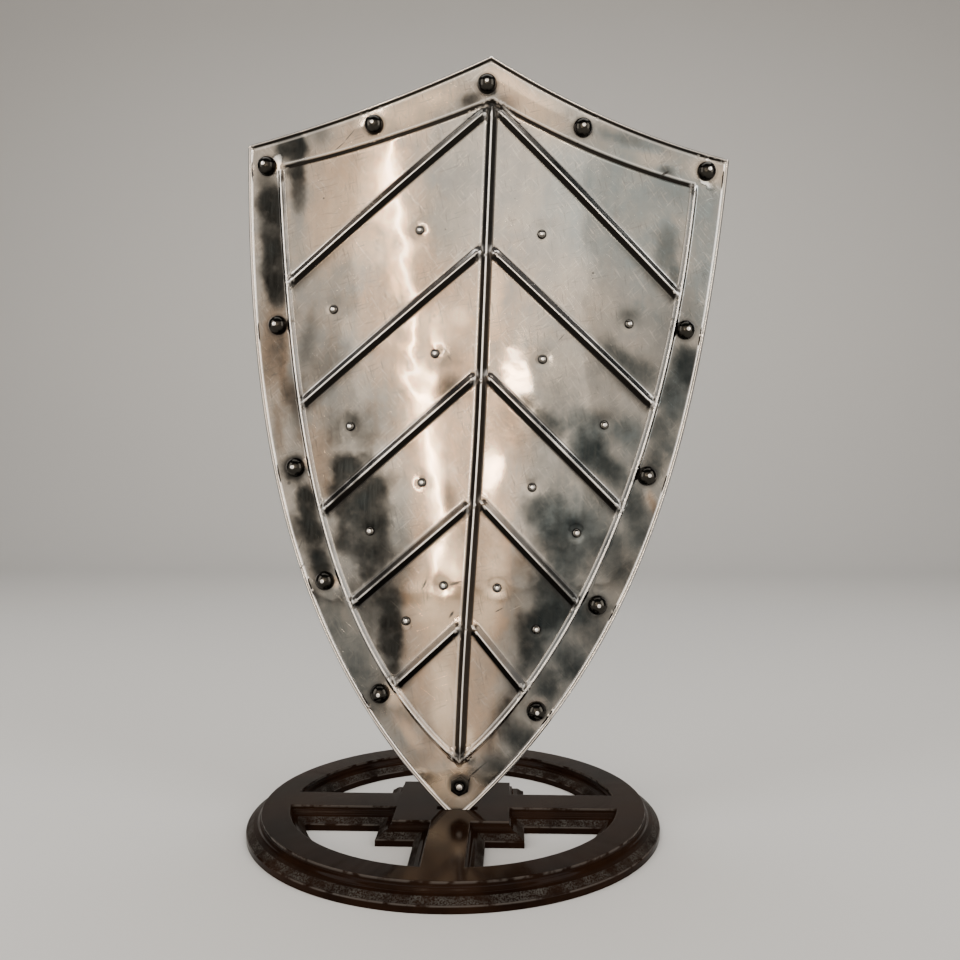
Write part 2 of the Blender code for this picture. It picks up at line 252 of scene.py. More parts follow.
def sample(points, step=ALONG):
    """Even points along the Bezier curve of these control points."""
    fine = [bezier(points, i / 400) for i in range(401)]
    runs = np.cumsum([0.0] + [(b - a).length for a, b in zip(fine, fine[1:])])
    count = max(2, round(runs[-1] / step))
    shares = np.interp(np.linspace(0.0, runs[-1], count + 1), runs, np.linspace(0.0, 1.0, 401))
    return [bezier(points, share) for share in shares]


def sagging(start, end, sag):
    """Control points of a line that hangs below its chord by sag at the middle."""
    middle = (Vector(start) + Vector(end)) / 2
    return [start, middle - Vector((0.0, 2 * sag)), end]


def outline():
    """The plate's edge, from the point up the right side, over the apex and down the left."""
    left, right = SIDES["left"], SIDES["right"]
    up = sample(right["edge"])[::-1]
    over = sample(sagging(right["edge"][0], APEX, right["edge_sag"]))
    back = sample(sagging(APEX, left["edge"][0], left["edge_sag"]))
    down = sample(left["edge"])
    return up + over[1:] + back[1:] + down[1:-1]


def blunted(loop):
    """The outline with its sharp point cut off level inside the slot."""
    high = [point for point in loop if point.y > FOOT_V]
    first, last = high[0], high[-1]
    point = loop[0]
    right = point.lerp(first, (FOOT_V - point.y) / (first.y - point.y))
    left = point.lerp(last, (FOOT_V - point.y) / (last.y - point.y))
    return [right] + high + [left]


def mitre(before, here, after):
    """Offset that moves a corner so that both of its edges move left by one."""
    ahead = (after - here).normalized()
    behind = (here - before).normalized()
    across = Vector((-ahead.y - behind.y, ahead.x + behind.x)).normalized()
    return across / max(0.3, across.dot(Vector((-ahead.y, ahead.x))))


def inset(loop, distance):
    around = [loop[-1]] + loop + [loop[0]]
    return [here + distance * mitre(a, here, b) for a, here, b in zip(around, loop, around[2:])]


def beside(line, distance):
    """The open line moved sideways."""
    whole = [2 * line[0] - line[1]] + line + [2 * line[-1] - line[-2]]
    return [here + distance * mitre(a, here, b) for a, here, b in zip(whole, line, whole[2:])]


def border_u(side, v):
    """Where the border rib of a side crosses the height v."""
    low, high = 0.0, 1.0
    for _ in range(40):
        middle = (low + high) / 2
        if bezier(side["border"], middle).y > v:
            low = middle
        else:
            high = middle
    return bezier(side["border"], low).x


def rib_u(v):
    low, high, step = RIB_BEND
    return RIB_FOOT_U + step * float(smoothstep(low, high, v))


def centre_line():
    count = round((RIB_TOP_V - RIB_FOOT_V) / ALONG)
    return [Vector((rib_u(v), v)) for v in np.linspace(RIB_TOP_V, RIB_FOOT_V, count + 1)]


def chevron(side, ends):
    """Both ends of a chevron's crest, from beside the centre rib to the border rib."""
    inner = Vector((rib_u(ends[0]), ends[0]))
    outer = Vector((border_u(side, ends[1]), ends[1]))
    along = (outer - inner).normalized()
    return [inner + along * (CHEVRON_GAP / abs(along.x)), outer]


# How much patina and painted shade a rib's flanks hold: on all of it, on the flank that faces one way, and
# that way. The painted shade stands in for the dark that a steep flank mirrors.
CENTRE_PATINA_AND_SHADE = (0.95, 0.0, (1.0, 0.0))
CHEVRON_PATINA_AND_SHADE = {"left": (0.12, 0.88, (0.0, -1.0)), "right": (0.0, 1.0, (0.0, -1.0))}
TOP_PATINA_AND_SHADE = (0.0, 1.0, (0.0, -1.0))
SIDE_PATINA_AND_SHADE = {"left": (0.0, 0.66, (1.0, 0.0)), "right": (0.0, 0.84, (-1.0, 0.0))}


def ribs():
    """Every pressed rib: its crest line, its section and its soot."""
    made = [(centre_line(), CENTRE_RIB, CENTRE_PATINA_AND_SHADE)]
    for name, side in SIDES.items():
        made.append((sample(side["border"]), BORDER_RIB, SIDE_PATINA_AND_SHADE[name]))
        top = sagging((rib_u(RIB_TOP_V), RIB_TOP_V), side["top_border_end"], side["top_border_sag"])
        made.append((sample(top), TOP_RIB, TOP_PATINA_AND_SHADE))
        made += [(sample(chevron(side, ends)), CHEVRON_RIB, CHEVRON_PATINA_AND_SHADE[name]) for ends in side["chevrons"]]
    return made


def fastener_places(prefix):
    """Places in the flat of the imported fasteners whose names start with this."""
    places = []
    for name in sorted(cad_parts):
        if name.startswith(prefix):
            low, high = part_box(name)
            flat = POSE.inverted() @ ((low + high) / 2)
            places.append(Vector((flat.x, flat.z)))
    return places


# --- the plate ---

# Lines of points beside a rib's crest, in half widths, and round the rolled edge, by how far in they lie.
RIB_SHARES = (0.06, 0.12, 0.18, 0.28, 0.46, 0.68, 0.88, 1.02, 1.18, 1.42, 1.85)
RIM_LINES = (0.0003, 0.0006, 0.0010, 0.0014, 0.0018, 0.0021, 0.0024, 0.0027, 0.0031, 0.0036, 0.0041, 0.0046,
             0.0052, 0.0059, 0.0068)
RIM_ROLL = 0.0046  # the rolled edge as it shows on the front, narrower than it is thick
# The two bright lines on the rolled edge are painted highlights.
RIM_BEADS = (0.0012, 0.0036)  # the two bright lines on it
RIM_GROOVE = (0.0024, 0.0006, 0.0006)  # the hollow between them: where it lies, half its width and its depth
GRID = 0.0043  # spacing of the points between the lines
KEEP_OFF = 0.0011  # points of another line closer than this are dropped
GRID_KEEP_OFF = 0.0026  # and points of the grid closer than this
# How much steeper a rib's brighter flank is than its darkened one, by how far a point is to the darkened
# side.
SKEW = {
    CENTRE_RIB: lambda dark_side: 1.12 - 0.12 * dark_side,
    CHEVRON_RIB: lambda dark_side: 0.92 - 0.02 * dark_side,
    BORDER_RIB: lambda dark_side: 1.50 - 0.50 * dark_side,
    TOP_RIB: lambda dark_side: 1.0,
}
FLANK_TURN = 1.6  # how soon beside its crest a rib passes from the clean flank to the sooty one
RIB_ROUND = 0.00022  # how softly a flank runs out into the sheet
CREST_ROUND = 0.0002  # how round the crest is
CREST_TURN = 0.0003  # and how softly it turns down into the flanks
INNER_TAPER = 0.0045  # the length over which a chevron runs out beside the centre rib
OUTER_TAPER = 0.0035  # and into the border rib
FOOT_TAPER = 0.0120  # over which the other ribs run out at their ends
TOP_SIDE_REACH = 0.0180  # the upper side of the top border's rib slopes up from this far
RIM_SQUARE = 2.6  # 2 for a round rolled edge, more for a squarer one
# The chevrons' upper flanks also take patina and painted shade low down and high up: where that sets in and
# where it is full.
DARKER_BELOW = (0.34, 0.24)
DARKER_ABOVE = (0.50, 0.56)
# Hammered waves: size of a wave and its depth.
WAVES = ((0.120, 0.00060), (0.050, 0.00040), (0.021, 0.00014), (0.010, 0.000040))
# Where the hammering is coarser: place, size and strength.
LUMPY = ((-0.030, 0.415, 0.035, 3.0), (0.035, 0.390, 0.025, 2.0), (0.0, 0.0, 0.022, 3.0),
         (-0.170, 0.585, 0.030, 3.0))
# The sheet is drawn in round each fastener: radius of the dish and its depth.
RIVET_DISH = (0.0095, 0.0005)
STUD_DISH = (0.0056, 0.0005)
# The painted shade round each head, a dark ring: its radius, and the width that it fades over.
RIVET_SHADE_RING = (0.0086, 0.0018)
STUD_SHADE_RING = (0.0040, 0.0011)
# The edge of each stain and painted reflection: how closely it wanders and how far, and how closely it
# feathers, across and up, and how far.
WANDER = (38, 0.32)
FEATHER = ((260, 26), 0.12)
# Stains and painted reflections on the sheet: place, half width and height in millimetres, turn in degrees,
# then in hundredths how dark (below zero: how light), how warm (below zero: how cold) and how soft.
# The dark ones are partly stains, partly painted dark reflections; the light ones are painted highlights.
STAINS_AND_REFLECTIONS = [
    # wide and soft, under the rest
    (110, 250, 60, 70, -20, 25, -40, 100), (70, 140, 50, 60, 0, 20, -30, 100),
    (-110, 260, 45, 70, 15, 18, -20, 100), (-75, 150, 35, 60, 10, 18, -20, 100),
    (178, 385, 22, 60, 8, 30, -40, 100), (-55, 480, 26, 100, 0, 20, 30, 100),
    (65, 375, 30, 60, 0, 22, -10, 100), (-12, 310, 46, 120, 0, 0, 120, 100),
    (-14, 150, 38, 90, 0, 0, 130, 100), (-190, 410, 16, 60, 2, 12, 10, 100),
    (-25, 540, 22, 60, 0, 10, -40, 100),
    # down the left border
    (-176, 590, 18, 16, 0, 95, -40, 15), (-190, 572, 6, 4, 20, -70, 30, 60),
    (-200, 558, 10, 10, 0, 55, -20, 80), (-195, 540, 13, 18, 0, 90, -20, 20),
    (-192, 510, 13, 26, 3, 90, -20, 15), (-189, 478, 13, 24, 5, 92, -20, 15),
    (-185, 453, 10, 14, 5, 86, -20, 30), (-184, 430, 12, 36, 6, 30, 40, 90),
    (-188, 395, 14, 30, 4, 38, 60, 100), (-176, 380, 5, 35, 6, 35, 40, 70), (-178, 330, 4, 25, 8, 30, 40, 70),
    (-161, 352, 9, 34, 12, 60, 20, 80), (-160, 295, 14, 12, 15, 95, 0, 40),
    (-147, 262, 9, 22, 17, 92, -10, 45), (-141, 235, 11, 18, 20, 92, -10, 45),
    (-132, 208, 9, 12, 25, 75, -10, 60), (-158, 240, 7, 12, 20, 55, 10, 60),
    (-150, 300, 4, 5, 0, -80, 60, 50), (-118, 194, 4, 5, 0, -80, 60, 50), (-140, 182, 8, 10, 25, 60, 0, 60),
    (-118, 155, 15, 34, 28, 42, -50, 100), (-92, 118, 15, 26, 33, 45, -40, 90),
    (-82, 90, 10, 12, 35, 60, -30, 80), (-61, 98, 8, 9, 30, -65, 40, 60), (-55, 66, 12, 20, 40, 22, -20, 90),
    (-45, 62, 5, 16, 42, -40, 60, 70), (-30, 40, 12, 14, 45, 20, 10, 90), (-17, 24, 13, 11, 0, -80, -20, 90),
    (0, 36, 9, 6, 0, -90, 60, 60),
    # the left panels, from the top
    (-168, 553, 7, 27, 4, 85, -20, 40), (-174, 566, 8, 6, 0, 70, -20, 50), (-166, 601, 3, 4, 20, -90, 20, 40),
    (-150, 600, 10, 10, 30, 35, 0, 80), (-115, 607, 9, 9, 20, 35, 0, 80),
    (-165, 515, 10, 30, 0, 10, -50, 100), (-110, 560, 40, 32, 0, -20, 100, 100),
    (-130, 515, 40, 30, 0, -28, 70, 100), (-60, 430, 35, 45, 0, 0, 80, 100),
    (-120, 430, 40, 30, 0, 8, 0, 100), (-155, 405, 8, 20, -8, 45, -20, 80),
    (-135, 385, 20, 14, 40, 30, 0, 90), (-90, 370, 34, 30, 0, 14, 0, 100),
    (-95, 345, 30, 18, 0, 20, -10, 100), (-108, 332, 17, 14, 0, 48, -10, 80),
    (-112, 297, 14, 13, 0, 95, -20, 15), (-98, 302, 14, 7, 20, 60, -10, 50),
    (-118, 275, 10, 10, 40, 70, 0, 60), (-138, 303, 12, 40, 12, 16, 70, 90), (-96, 318, 22, 9, 30, 28, 0, 90),
    (-90, 278, 22, 14, 42, 84, -10, 30), (-86, 241, 19, 50, 5, 88, -20, 10),
    (-110, 262, 14, 14, 40, 72, -10, 40), (-104, 230, 14, 18, 20, 72, -10, 50),
    (-60, 228, 12, 30, 10, 32, -40, 90), (-60, 262, 10, 30, 0, 10, -50, 100),
    (-20, 272, 9, 16, 20, 50, 20, 80), (-20, 300, 8, 30, 0, 0, 100, 80), (-30, 400, 14, 10, 30, 35, 0, 80),
    (-22, 372, 14, 12, 40, 65, -30, 60), (-64, 150, 11, 36, 0, 92, -20, 40),
    (-68, 180, 14, 14, 0, 65, -20, 70), (-85, 168, 12, 14, 30, 55, -20, 90), (-60, 118, 8, 10, 0, 65, 0, 60),
    (-58, 200, 16, 10, 40, 40, 0, 80), (-40, 188, 12, 22, 0, -55, 90, 100), (-44, 82, 9, 12, 30, 18, 0, 80),
    (-22, 108, 10, 18, 0, -25, 70, 90), (-25, 62, 8, 10, 40, 20, 20, 70),
    # beside the middle rib
    (-42, 385, 8, 22, 0, -55, 60, 70), (-45, 352, 7, 16, 10, -60, 40, 60), (-32, 290, 7, 34, 4, -85, 50, 70),
    (-18, 228, 12, 26, 5, -100, 60, 70), (-40, 420, 26, 14, 30, -38, 70, 80),
    (-14, 435, 7, 8, 0, -70, 40, 70), (-10, 198, 5, 3, 0, 60, 0, 60), (-20, 170, 18, 30, 0, -65, 100, 100),
    (-15, 95, 10, 36, 0, -85, 100, 80), (12, 455, 8, 30, 0, -35, 90, 80),
    (38, 382, 14, 11, -30, -100, 30, 35), (28, 345, 16, 18, 0, 25, 60, 100),
    (19, 298, 7, 22, 0, -100, 60, 60), (20, 235, 10, 30, 0, -20, 60, 100),
    (24, 196, 11, 28, -10, -80, 100, 80), (16, 165, 8, 14, 0, -50, 90, 80), (18, 80, 12, 30, 0, 0, 60, 100),
    (8, 60, 4, 14, 0, -60, 80, 70),
    # the right panels, from the top
    (165, 556, 26, 12, 0, 16, -60, 100), (105, 560, 60, 40, 0, 0, -90, 100),
    (150, 540, 22, 40, 0, -10, -100, 100), (167, 505, 10, 22, -10, 45, -50, 70),
    (175, 480, 5, 14, -10, 40, -40, 70), (120, 490, 45, 26, -40, 0, -50, 100),
    (135, 439, 10, 8, 0, 34, -40, 100), (125, 405, 22, 10, -45, 50, -40, 80),
    (148, 393, 16, 16, -40, 55, -40, 80), (100, 430, 30, 16, -45, 8, 0, 100),
    (75, 360, 26, 40, -20, 15, -20, 100), (108, 318, 18, 16, -35, 58, -50, 80),
    (112, 343, 36, 13, -8, 38, -40, 80), (98, 322, 16, 12, -45, 55, -40, 70),
    (70, 341, 18, 8, -43, 60, -20, 60), (45, 363, 12, 6, -43, 42, 0, 70),
    (124, 302, 14, 12, -40, 62, -40, 70), (142, 335, 9, 18, -10, 25, -50, 90),
    (80, 292, 30, 18, -35, 26, -20, 100), (70, 258, 27, 17, -42, 70, -60, 50),
    (100, 250, 20, 24, -30, 52, -50, 90), (72, 236, 17, 9, -42, 50, -20, 70),
    (92, 221, 15, 12, -40, 52, -30, 70), (112, 225, 8, 20, -20, 30, 0, 90),
    (48, 215, 12, 14, -10, 25, 20, 90), (80, 190, 22, 19, -35, 66, -40, 50),
    (62, 156, 16, 26, -5, 76, -30, 40), (85, 170, 10, 18, -30, 35, -40, 90), (50, 120, 9, 12, 0, 50, -20, 70),
    (38, 88, 9, 20, -25, 55, 0, 80), (42, 95, 4, 4, 0, 40, 40, 60), (25, 60, 7, 9, -40, 30, 0, 90),
    # down the right border
    (203, 520, 16, 80, 4, 4, -100, 100), (203, 578, 16, 12, 0, -50, 10, 80),
    (190, 450, 14, 20, 4, 26, -30, 100), (190, 399, 15, 22, 6, 86, -50, 50),
    (179, 372, 12, 24, 8, 62, -50, 70), (168, 340, 9, 20, 12, 55, -40, 70),
    (163, 312, 9, 10, 10, 55, -20, 80), (150, 262, 15, 32, 16, 60, -40, 60),
    (132, 226, 15, 24, 20, 52, -20, 80), (166, 268, 3, 16, 18, 40, 60, 60),
    (160, 278, 5, 10, 15, -30, 60, 80), (112, 166, 16, 26, 32, 46, -10, 80),
    (94, 132, 14, 24, 32, 72, -40, 70), (75, 114, 11, 18, 36, 68, -30, 80), (72, 95, 12, 16, 36, 40, -20, 90),
    (68, 94, 7, 6, 30, -50, 60, 80), (54, 62, 14, 22, 40, 84, -50, 60), (32, 36, 13, 15, 42, 72, -40, 80),
    (10, 40, 7, 3, 40, 60, 0, 50),
    # along the top border
    (-14, 630, 11, 7, 25, 70, 0, 70), (20, 628, 9, 6, -30, 50, 20, 70), (20, 645, 20, 8, -30, -30, 60, 90),
    (45, 620, 26, 12, -25, -40, 60, 90), (-65, 620, 48, 12, 24, -62, 40, 90),
    (165, 575, 8, 5, -20, 60, -30, 70), (150, 585, 18, 8, -15, -20, -60, 80),
    (130, 600, 30, 5, -12, 35, -50, 80),
]
# Nicks and specks: place and turn, then half their length and width, in millimetres and degrees.
NICKS = [
    (76, 420, 48, 4.0, 0.55), (102, 479, 0, 0.9, 0.9), (102, 474, 80, 0.7, 0.5), (-31, 513, 0, 0.8, 0.8),
    (-10, 198, 20, 5.5, 1.3), (17, 35, 42, 11.0, 0.7), (9, 24, 70, 5.0, 0.6), (-27, 405, -60, 3.5, 0.5),
    (-23, 398, -50, 3.0, 0.5), (-37, 196, 70, 4.0, 0.8), (-150, 205, 60, 6.0, 0.9), (-152, 226, 70, 5.0, 0.8),
    (-165, 281, 20, 2.0, 1.6), (30, 176, 30, 4.0, 0.7), (-12, 170, 60, 4.0, 1.2), (163, 572, 35, 6.0, 1.2),
    (-40, 131, 0, 0.8, 0.8), (-131, 588, 40, 6.0, 0.5), (-122, 598, 50, 7.0, 0.5), (-144, 541, 0, 0.9, 0.9),
]
BACK_SHARE = 0.25  # how much of the marks the plainer back takes
WITHIN = 0.00005  # keeps the fine edge inside the solid's
HOLE_SIDES = 16
# Radii of the rings of points round each fastener.
STUD_RINGS = (0.0034, 0.0050, 0.0068, 0.0088, 0.0112)
RIVET_RINGS = (0.0060, 0.0092, 0.0120, 0.0150)


class Layout:
    """Points in the flat, thinned out where lines cross, and the edges that bound them."""

    def __init__(self):
        self.points = []
        self.edges = []
        self.cells = {}

    def cell(self, point):
        return math.floor(point.x / GRID_KEEP_OFF), math.floor(point.y / GRID_KEEP_OFF)

    def is_near(self, point, distance, family):
        column, row = self.cell(point)
        for i in (column - 1, column, column + 1):
            for j in (row - 1, row, row + 1):
                for other, owner in self.cells.get((i, j), ()):
                    if owner != family and (other - point).length < distance:
                        return True
        return False

    def add(self, line, family, closed=False, keep_off=KEEP_OFF):
        """Adds a line of points; only a closed one bounds the mesh and is kept whole."""
        if closed:
            first = len(self.points)
            count = len(line)
            self.edges += [(first + i, first + (i + 1) % count) for i in range(count)]
        else:
            line = [point for point in line if not self.is_near(point, keep_off, family)]
        for point in line:
            self.points.append(point)
            self.cells.setdefault(self.cell(point), []).append((point, family))


def circle(centre, radius, sides):
    angles = [2 * math.pi * (i + 0.5) / sides for i in range(sides)]
    return [Vector((centre.x + radius * math.cos(a), centre.y + radius * math.sin(a))) for a in angles]


def nearest(line, points):
    """For each point: how far the line is, the way to it, and the run along the line."""
    best = np.full(len(points), np.inf)
    way = np.zeros_like(points)
    run = np.zeros(len(points))
    passed = 0.0
    for a, b in zip(line, line[1:]):
        start, along = np.array(a), np.array(b - a)
        length = float(np.hypot(*along))
        share = np.clip((points - start) @ along / length ** 2, 0.0, 1.0)
        off = points - start - share[:, None] * along
        distance = np.hypot(off[:, 0], off[:, 1])
        closer = distance < best
        best[closer] = distance[closer]
        way[closer] = off[closer]
        run[closer] = passed + share[closer] * length
        passed += length
    return best, way / np.maximum(best, 1e-9)[:, None], run, passed


def thin(line):
    """Fewer points of a line, which still follow its curve."""
    kept = line[::4]
    return kept if kept[-1] == line[-1] else kept + [line[-1]]


def waves(points):
    heights = np.zeros(len(points))
    lumpy = np.ones(len(points))
    for u_lump, v_lump, radius, strength in LUMPY:
        away = np.hypot(points[:, 0] - u_lump, points[:, 1] - v_lump)
        lumpy += strength * np.exp(-(away / radius) ** 2)
    for number, (size, depth) in enumerate(WAVES):
        wave = [noise.noise(Vector((u / size, v / size, 3.7 * number + 1.3))) for u, v in points]
        heights += depth * np.array(wave) * (lumpy if size < 0.03 else 1.0)
    return heights


def rib_ends(section, off, run, length):
    """How a rib's height dies away towards its ends, and how its patina, painted shade and painted highlight
    do.
    """
    crest = section[1]
    before, past = run < 1e-6, run > length - 1e-6  # the points beyond the rib's ends
    if section == CHEVRON_RIB:
        inner, outer = smoothstep(-0.001, INNER_TAPER, run), smoothstep(0.0, OUTER_TAPER, length - run)
        reached = outer * (0.4 + 0.6 * inner) * fade(0.0025, 0.0060, off * before)
        return (0.30 + 0.70 * inner) * outer, reached
    tapered = (0.15 + 0.85 * smoothstep(0.0, FOOT_TAPER, length - run))
    tapered = tapered * (0.25 + 0.75 * smoothstep(0.0, FOOT_TAPER, run))
    reached = 1 - (before | past) * smoothstep(0.5 * crest, 1.2 * crest, off)
    if section == CENTRE_RIB:
        reached = reached * smoothstep(0.0015, 0.0080, run)
    return tapered, reached


def rib_marks(section, darkening, off, way, dark_side, outwards, heights, dark):
    """Patina with painted shade, and painted highlight, across a rib: dark_side is how far a point lies on
    the flank that holds the patina and shade.
    """
    foot, crest, _ = section
    all_over, one_way, _ = darkening
    # The top rib: painted shade on it, and a painted highlight line above it.
    if section == TOP_RIB:  # dark, with a bright line above it
        return fade(0.0018, 0.0023, off), 0.60 * line_at(off, 0.0034, 0.0006) * (way[:, 1] > 0.0)
    # A painted highlight along the crest.
    bright = fade(0.6 * crest, 0.6 * crest + 0.0005, off)
    # The border rib: a painted highlight on its outer side, painted shade inside, and a faint painted
    # highlight line past that.
    if section == BORDER_RIB:  # bright on its outer side, dark inside, and a faint bright line past that
        flank = one_way * dark_side * smoothstep(0.0008, 0.0013, off)
        flank = flank * (1 - 0.20 * smoothstep(0.0022, 0.0030, off)) * fade(0.0042, 0.0052, off)
        outer, inner = (1 - dark_side) * fade(0.0008, 0.0016, off), 0.30 * dark_side * line_at(off, 0.0036, 0.0005)
        return flank, np.maximum(bright, np.maximum(outer, inner))
    flank = smoothstep(0.4 * crest, 0.4 * crest + 0.0005, off) * fade(foot, foot + 0.0008, off)
    # The centre rib: painted shade on both flanks, and a faint painted highlight line to its left.
    if section == CENTRE_RIB:  # dark on both flanks, with a faint bright line to its left
        flank = flank * np.clip(all_over + one_way * dark_side, 0.0, 1.0)
        return flank, np.maximum(bright, 0.35 * (way[:, 0] < 0) * line_at(off, foot + 0.0012, 0.0008))
    # A chevron takes painted shade under its crest, where a painted shadow widens outwards, and a painted
    # highlight above it, with a painted glint.
    low_down, high_up = smoothstep(*DARKER_BELOW, heights), smoothstep(*DARKER_ABOVE, heights)
    darker_flank = np.maximum(0.86 * low_down, 0.55 * high_up)
    flank = flank * np.clip(np.maximum(darker_flank, all_over) + one_way * dark_side, 0.0, 1.0)
    below = (0.30 + 0.45 * outwards) * dark_side * (off > foot)
    flank = np.maximum(flank, below * fade(foot, foot + 0.0020 + 0.0060 * outwards, off))
    undarkened = (1 - dark_side) * (1 - low_down) * (1 - high_up) * fade(foot - 0.0004, foot, off)
    glint = (1 - dark_side) * line_at(off, foot + 0.0008, 0.0006)
    bright = np.maximum(bright, 0.40 * np.maximum(undarkened, glint))
    return flank, bright * (1 - 0.80 * np.clip(dark, 0.0, 1.0)) ** 2


def press(points, all_ribs, dark):
    """Height of the ribs at each point, and how much patina with painted shade, and painted highlight, each
    point takes.
    """
    power = 5.0  # joins two ribs without a notch
    rise, patina_and_shade, painted_highlight = [np.zeros(len(points)) for _ in range(3)]
    for line, section, darkening in all_ribs:
        foot, crest, height = section
        off, way, run, length = nearest(thin(line), points)
        dark_side = np.clip(FLANK_TURN * way @ np.array(darkening[2]), 0.0, 1.0)
        outwards = smoothstep(0.35, 1.0, run / length)
        off = off * SKEW[section](dark_side)
        rounded = np.sqrt(off ** 2 + CREST_ROUND ** 2)
        ridge = height / (foot - crest) * (soft_ramp(foot - rounded, RIB_ROUND)
                                           - soft_ramp(crest - rounded, CREST_TURN))
        tapered, reached = rib_ends(section, off, run, length)
        ridge = ridge * fade(foot + 0.0006, foot + 0.0020, off) * tapered
        if section == TOP_RIB:
            ridge = np.where(way[:, 1] > 0.0, height * fade(0.0, TOP_SIDE_REACH, off), ridge)
        rise += ridge ** power
        flank, bright = rib_marks(section, darkening, off, way, dark_side, outwards, points[:, 1], dark)
        patina_and_shade = np.maximum(patina_and_shade, reached * flank)
        painted_highlight = np.maximum(painted_highlight, reached * bright)
    return rise ** (1 / power), patina_and_shade, painted_highlight


def from_place(points, place):
    """Each point's offset from a place, to the right and up, and its distance."""
    right, up = points[:, 0] - place.x, points[:, 1] - place.y
    return right, up, np.hypot(right, up)


def dishes(points, places, dish):
    """The hollow round each fastener, no two quite alike."""
    radius, depth = dish
    heights = np.zeros(len(points))
    for place in places:
        chance = noise.noise_vector(Vector((place.x, place.y, 0.5)) * 37)
        _, _, away = from_place(points, place + 0.0012 * chance.xy)
        heights -= depth * (1 + 0.5 * chance.z) * line_at(away, 0.0, radius)
    return heights


def stains_and_reflections(points):
    """How dark and how warm the stains and painted reflections make each point; their edges wander and
    feather up and down.
    """
    undarkened, unlit, warmth = np.ones(len(points)), np.ones(len(points)), np.zeros(len(points))
    closeness, reach = WANDER
    (across_by, up_by), feather_reach = FEATHER
    wander = np.array([noise.fractal(Vector((u, v, 0.7)) * closeness, 0.8, 2.2, 4) for u, v in points])
    feather = np.array([noise.noise(Vector((u * across_by, v * up_by, 4.1))) for u, v in points])
    ragged = 1 + reach * wander + feather_reach * feather
    for row in STAINS_AND_REFLECTIONS:
        u, v, half_width, half_height = [value / 1000 for value in row[:4]]
        turn, darkness, warm, softness = math.radians(row[4]), row[5] / 100, row[6] / 100, row[7] / 100
        x, y = points[:, 0] - u, points[:, 1] - v
        across = (x * math.cos(turn) + y * math.sin(turn)) / half_width
        along = (y * math.cos(turn) - x * math.sin(turn)) / half_height
        away = np.hypot(across, along) * ragged
        cover = np.exp(-0.8 * np.maximum(away, 0.0) ** (2 + 5 * (1 - softness)))
        undarkened *= 1 - max(darkness, 0.0) * cover
        unlit *= 1 - max(-darkness, 0.0) * cover
        warmth += warm * cover
    return unlit - undarkened, np.clip(warmth, -1.0, 1.0)


def painted_dent_shading(points, places):
    """Painted shade above each stud and a painted highlight below it, unevenly, as the dents round the studs
    would show.
    """
    shade = np.zeros(len(points))
    for place in places:
        chance = noise.noise_vector(Vector((place.x, place.y, 0.2)) * 41)
        strength = 0.08 + 0.14 * chance.x + 0.9 * max(0.0, place.x)
        right, up, away = from_place(points, place)
        above = line_at(right, 0.003 * chance.y, 0.0075) * line_at(up, 0.0085, 0.0060)
        below = line_at(away, 0.0068, 0.0020) * (0.5 - 0.5 * up / np.maximum(away, 1e-6))
        shade += strength * (1.5 * above - 0.9 * below)
    return shade


def shade_ring(points, places, ring):
    """Painted shade beside each fastener's head, fading outwards."""
    radius, width = ring
    dark = np.zeros(len(points))
    for place in places:
        dark = np.maximum(dark, fade(radius, radius + width, from_place(points, place)[2]))
    return dark


def plate_layout(sharp, all_ribs, rivets, studs, bolt):
    """The points of the fine mesh and its bounds, with the holes' centres and radii."""
    layout = Layout()
    layout.add(blunted(sharp), "edge", closed=True)
    edge_count = len(layout.points)
    bored = [(place, RIVET["Shank Radius"] + 2 * GAP) for place in rivets]
    bored += [(place, STUD["Shank Radius"] + 2 * GAP) for place in studs]
    bored += [(bolt, BOLT_SHANK + 2 * GAP)]
    for centre, radius in bored:
        layout.add(circle(centre, radius, HOLE_SIDES), "hole", closed=True)
    for distance in RIM_LINES:
        line = inset(sharp, distance)
        layout.add([point for point in line if point.y > FOOT_V + 0.0004], "rim")
    for number, (line, section, _) in enumerate(all_ribs):
        layout.add(line, number)
        for share in RIB_SHARES:
            for half in (-section[0], section[0]):
                layout.add(beside(line, share * half), number)
    for places, rings in ((rivets + [bolt], RIVET_RINGS), (studs, STUD_RINGS)):
        for place in places:
            for radius in rings:
                sides = round(2 * math.pi * radius / 0.0024)
                layout.add(circle(place, radius, sides), "ring")
    inside = inset(sharp, RIM_LINES[-1] + 0.0015)
    tall, wide = round(APEX[1] / GRID * 1.155), round(0.23 / GRID)
    boundary = np.array([tuple(point) for point in inside])
    for row in range(tall):
        v = row * GRID * 0.866
        crossings = row_crossings(boundary, v)
        for column in range(-wide, wide + 1):
            u = (column + 0.5 * (row % 2)) * GRID
            if sum(crossing < u for crossing in crossings) % 2:
                layout.add([Vector((u, v))], "grid", keep_off=GRID_KEEP_OFF)
    return layout, edge_count, bored


def row_crossings(boundary, v):
    """Where a closed line crosses a height."""
    after = np.roll(boundary, -1, axis=0)
    crosses = (boundary[:, 1] > v) != (after[:, 1] > v)
    a, b = boundary[crosses], after[crosses]
    return list(a[:, 0] + (v - a[:, 1]) / (b[:, 1] - a[:, 1]) * (b[:, 0] - a[:, 0]))


def rim_roll(inward, on_top):
    """Half the thickness of the rolled edge, this far in from it."""
    across = np.minimum(np.abs(inward / (0.5 * RIM_ROLL) - 0.97), 1.0)
    square = RIM_SQUARE - 0.5 * on_top
    roll = 0.5 * RIM * (1 - across ** square) ** (1 / square)
    return roll * (1 - 0.35 * smoothstep(0.5 * RIM_ROLL, RIM_ROLL, inward))


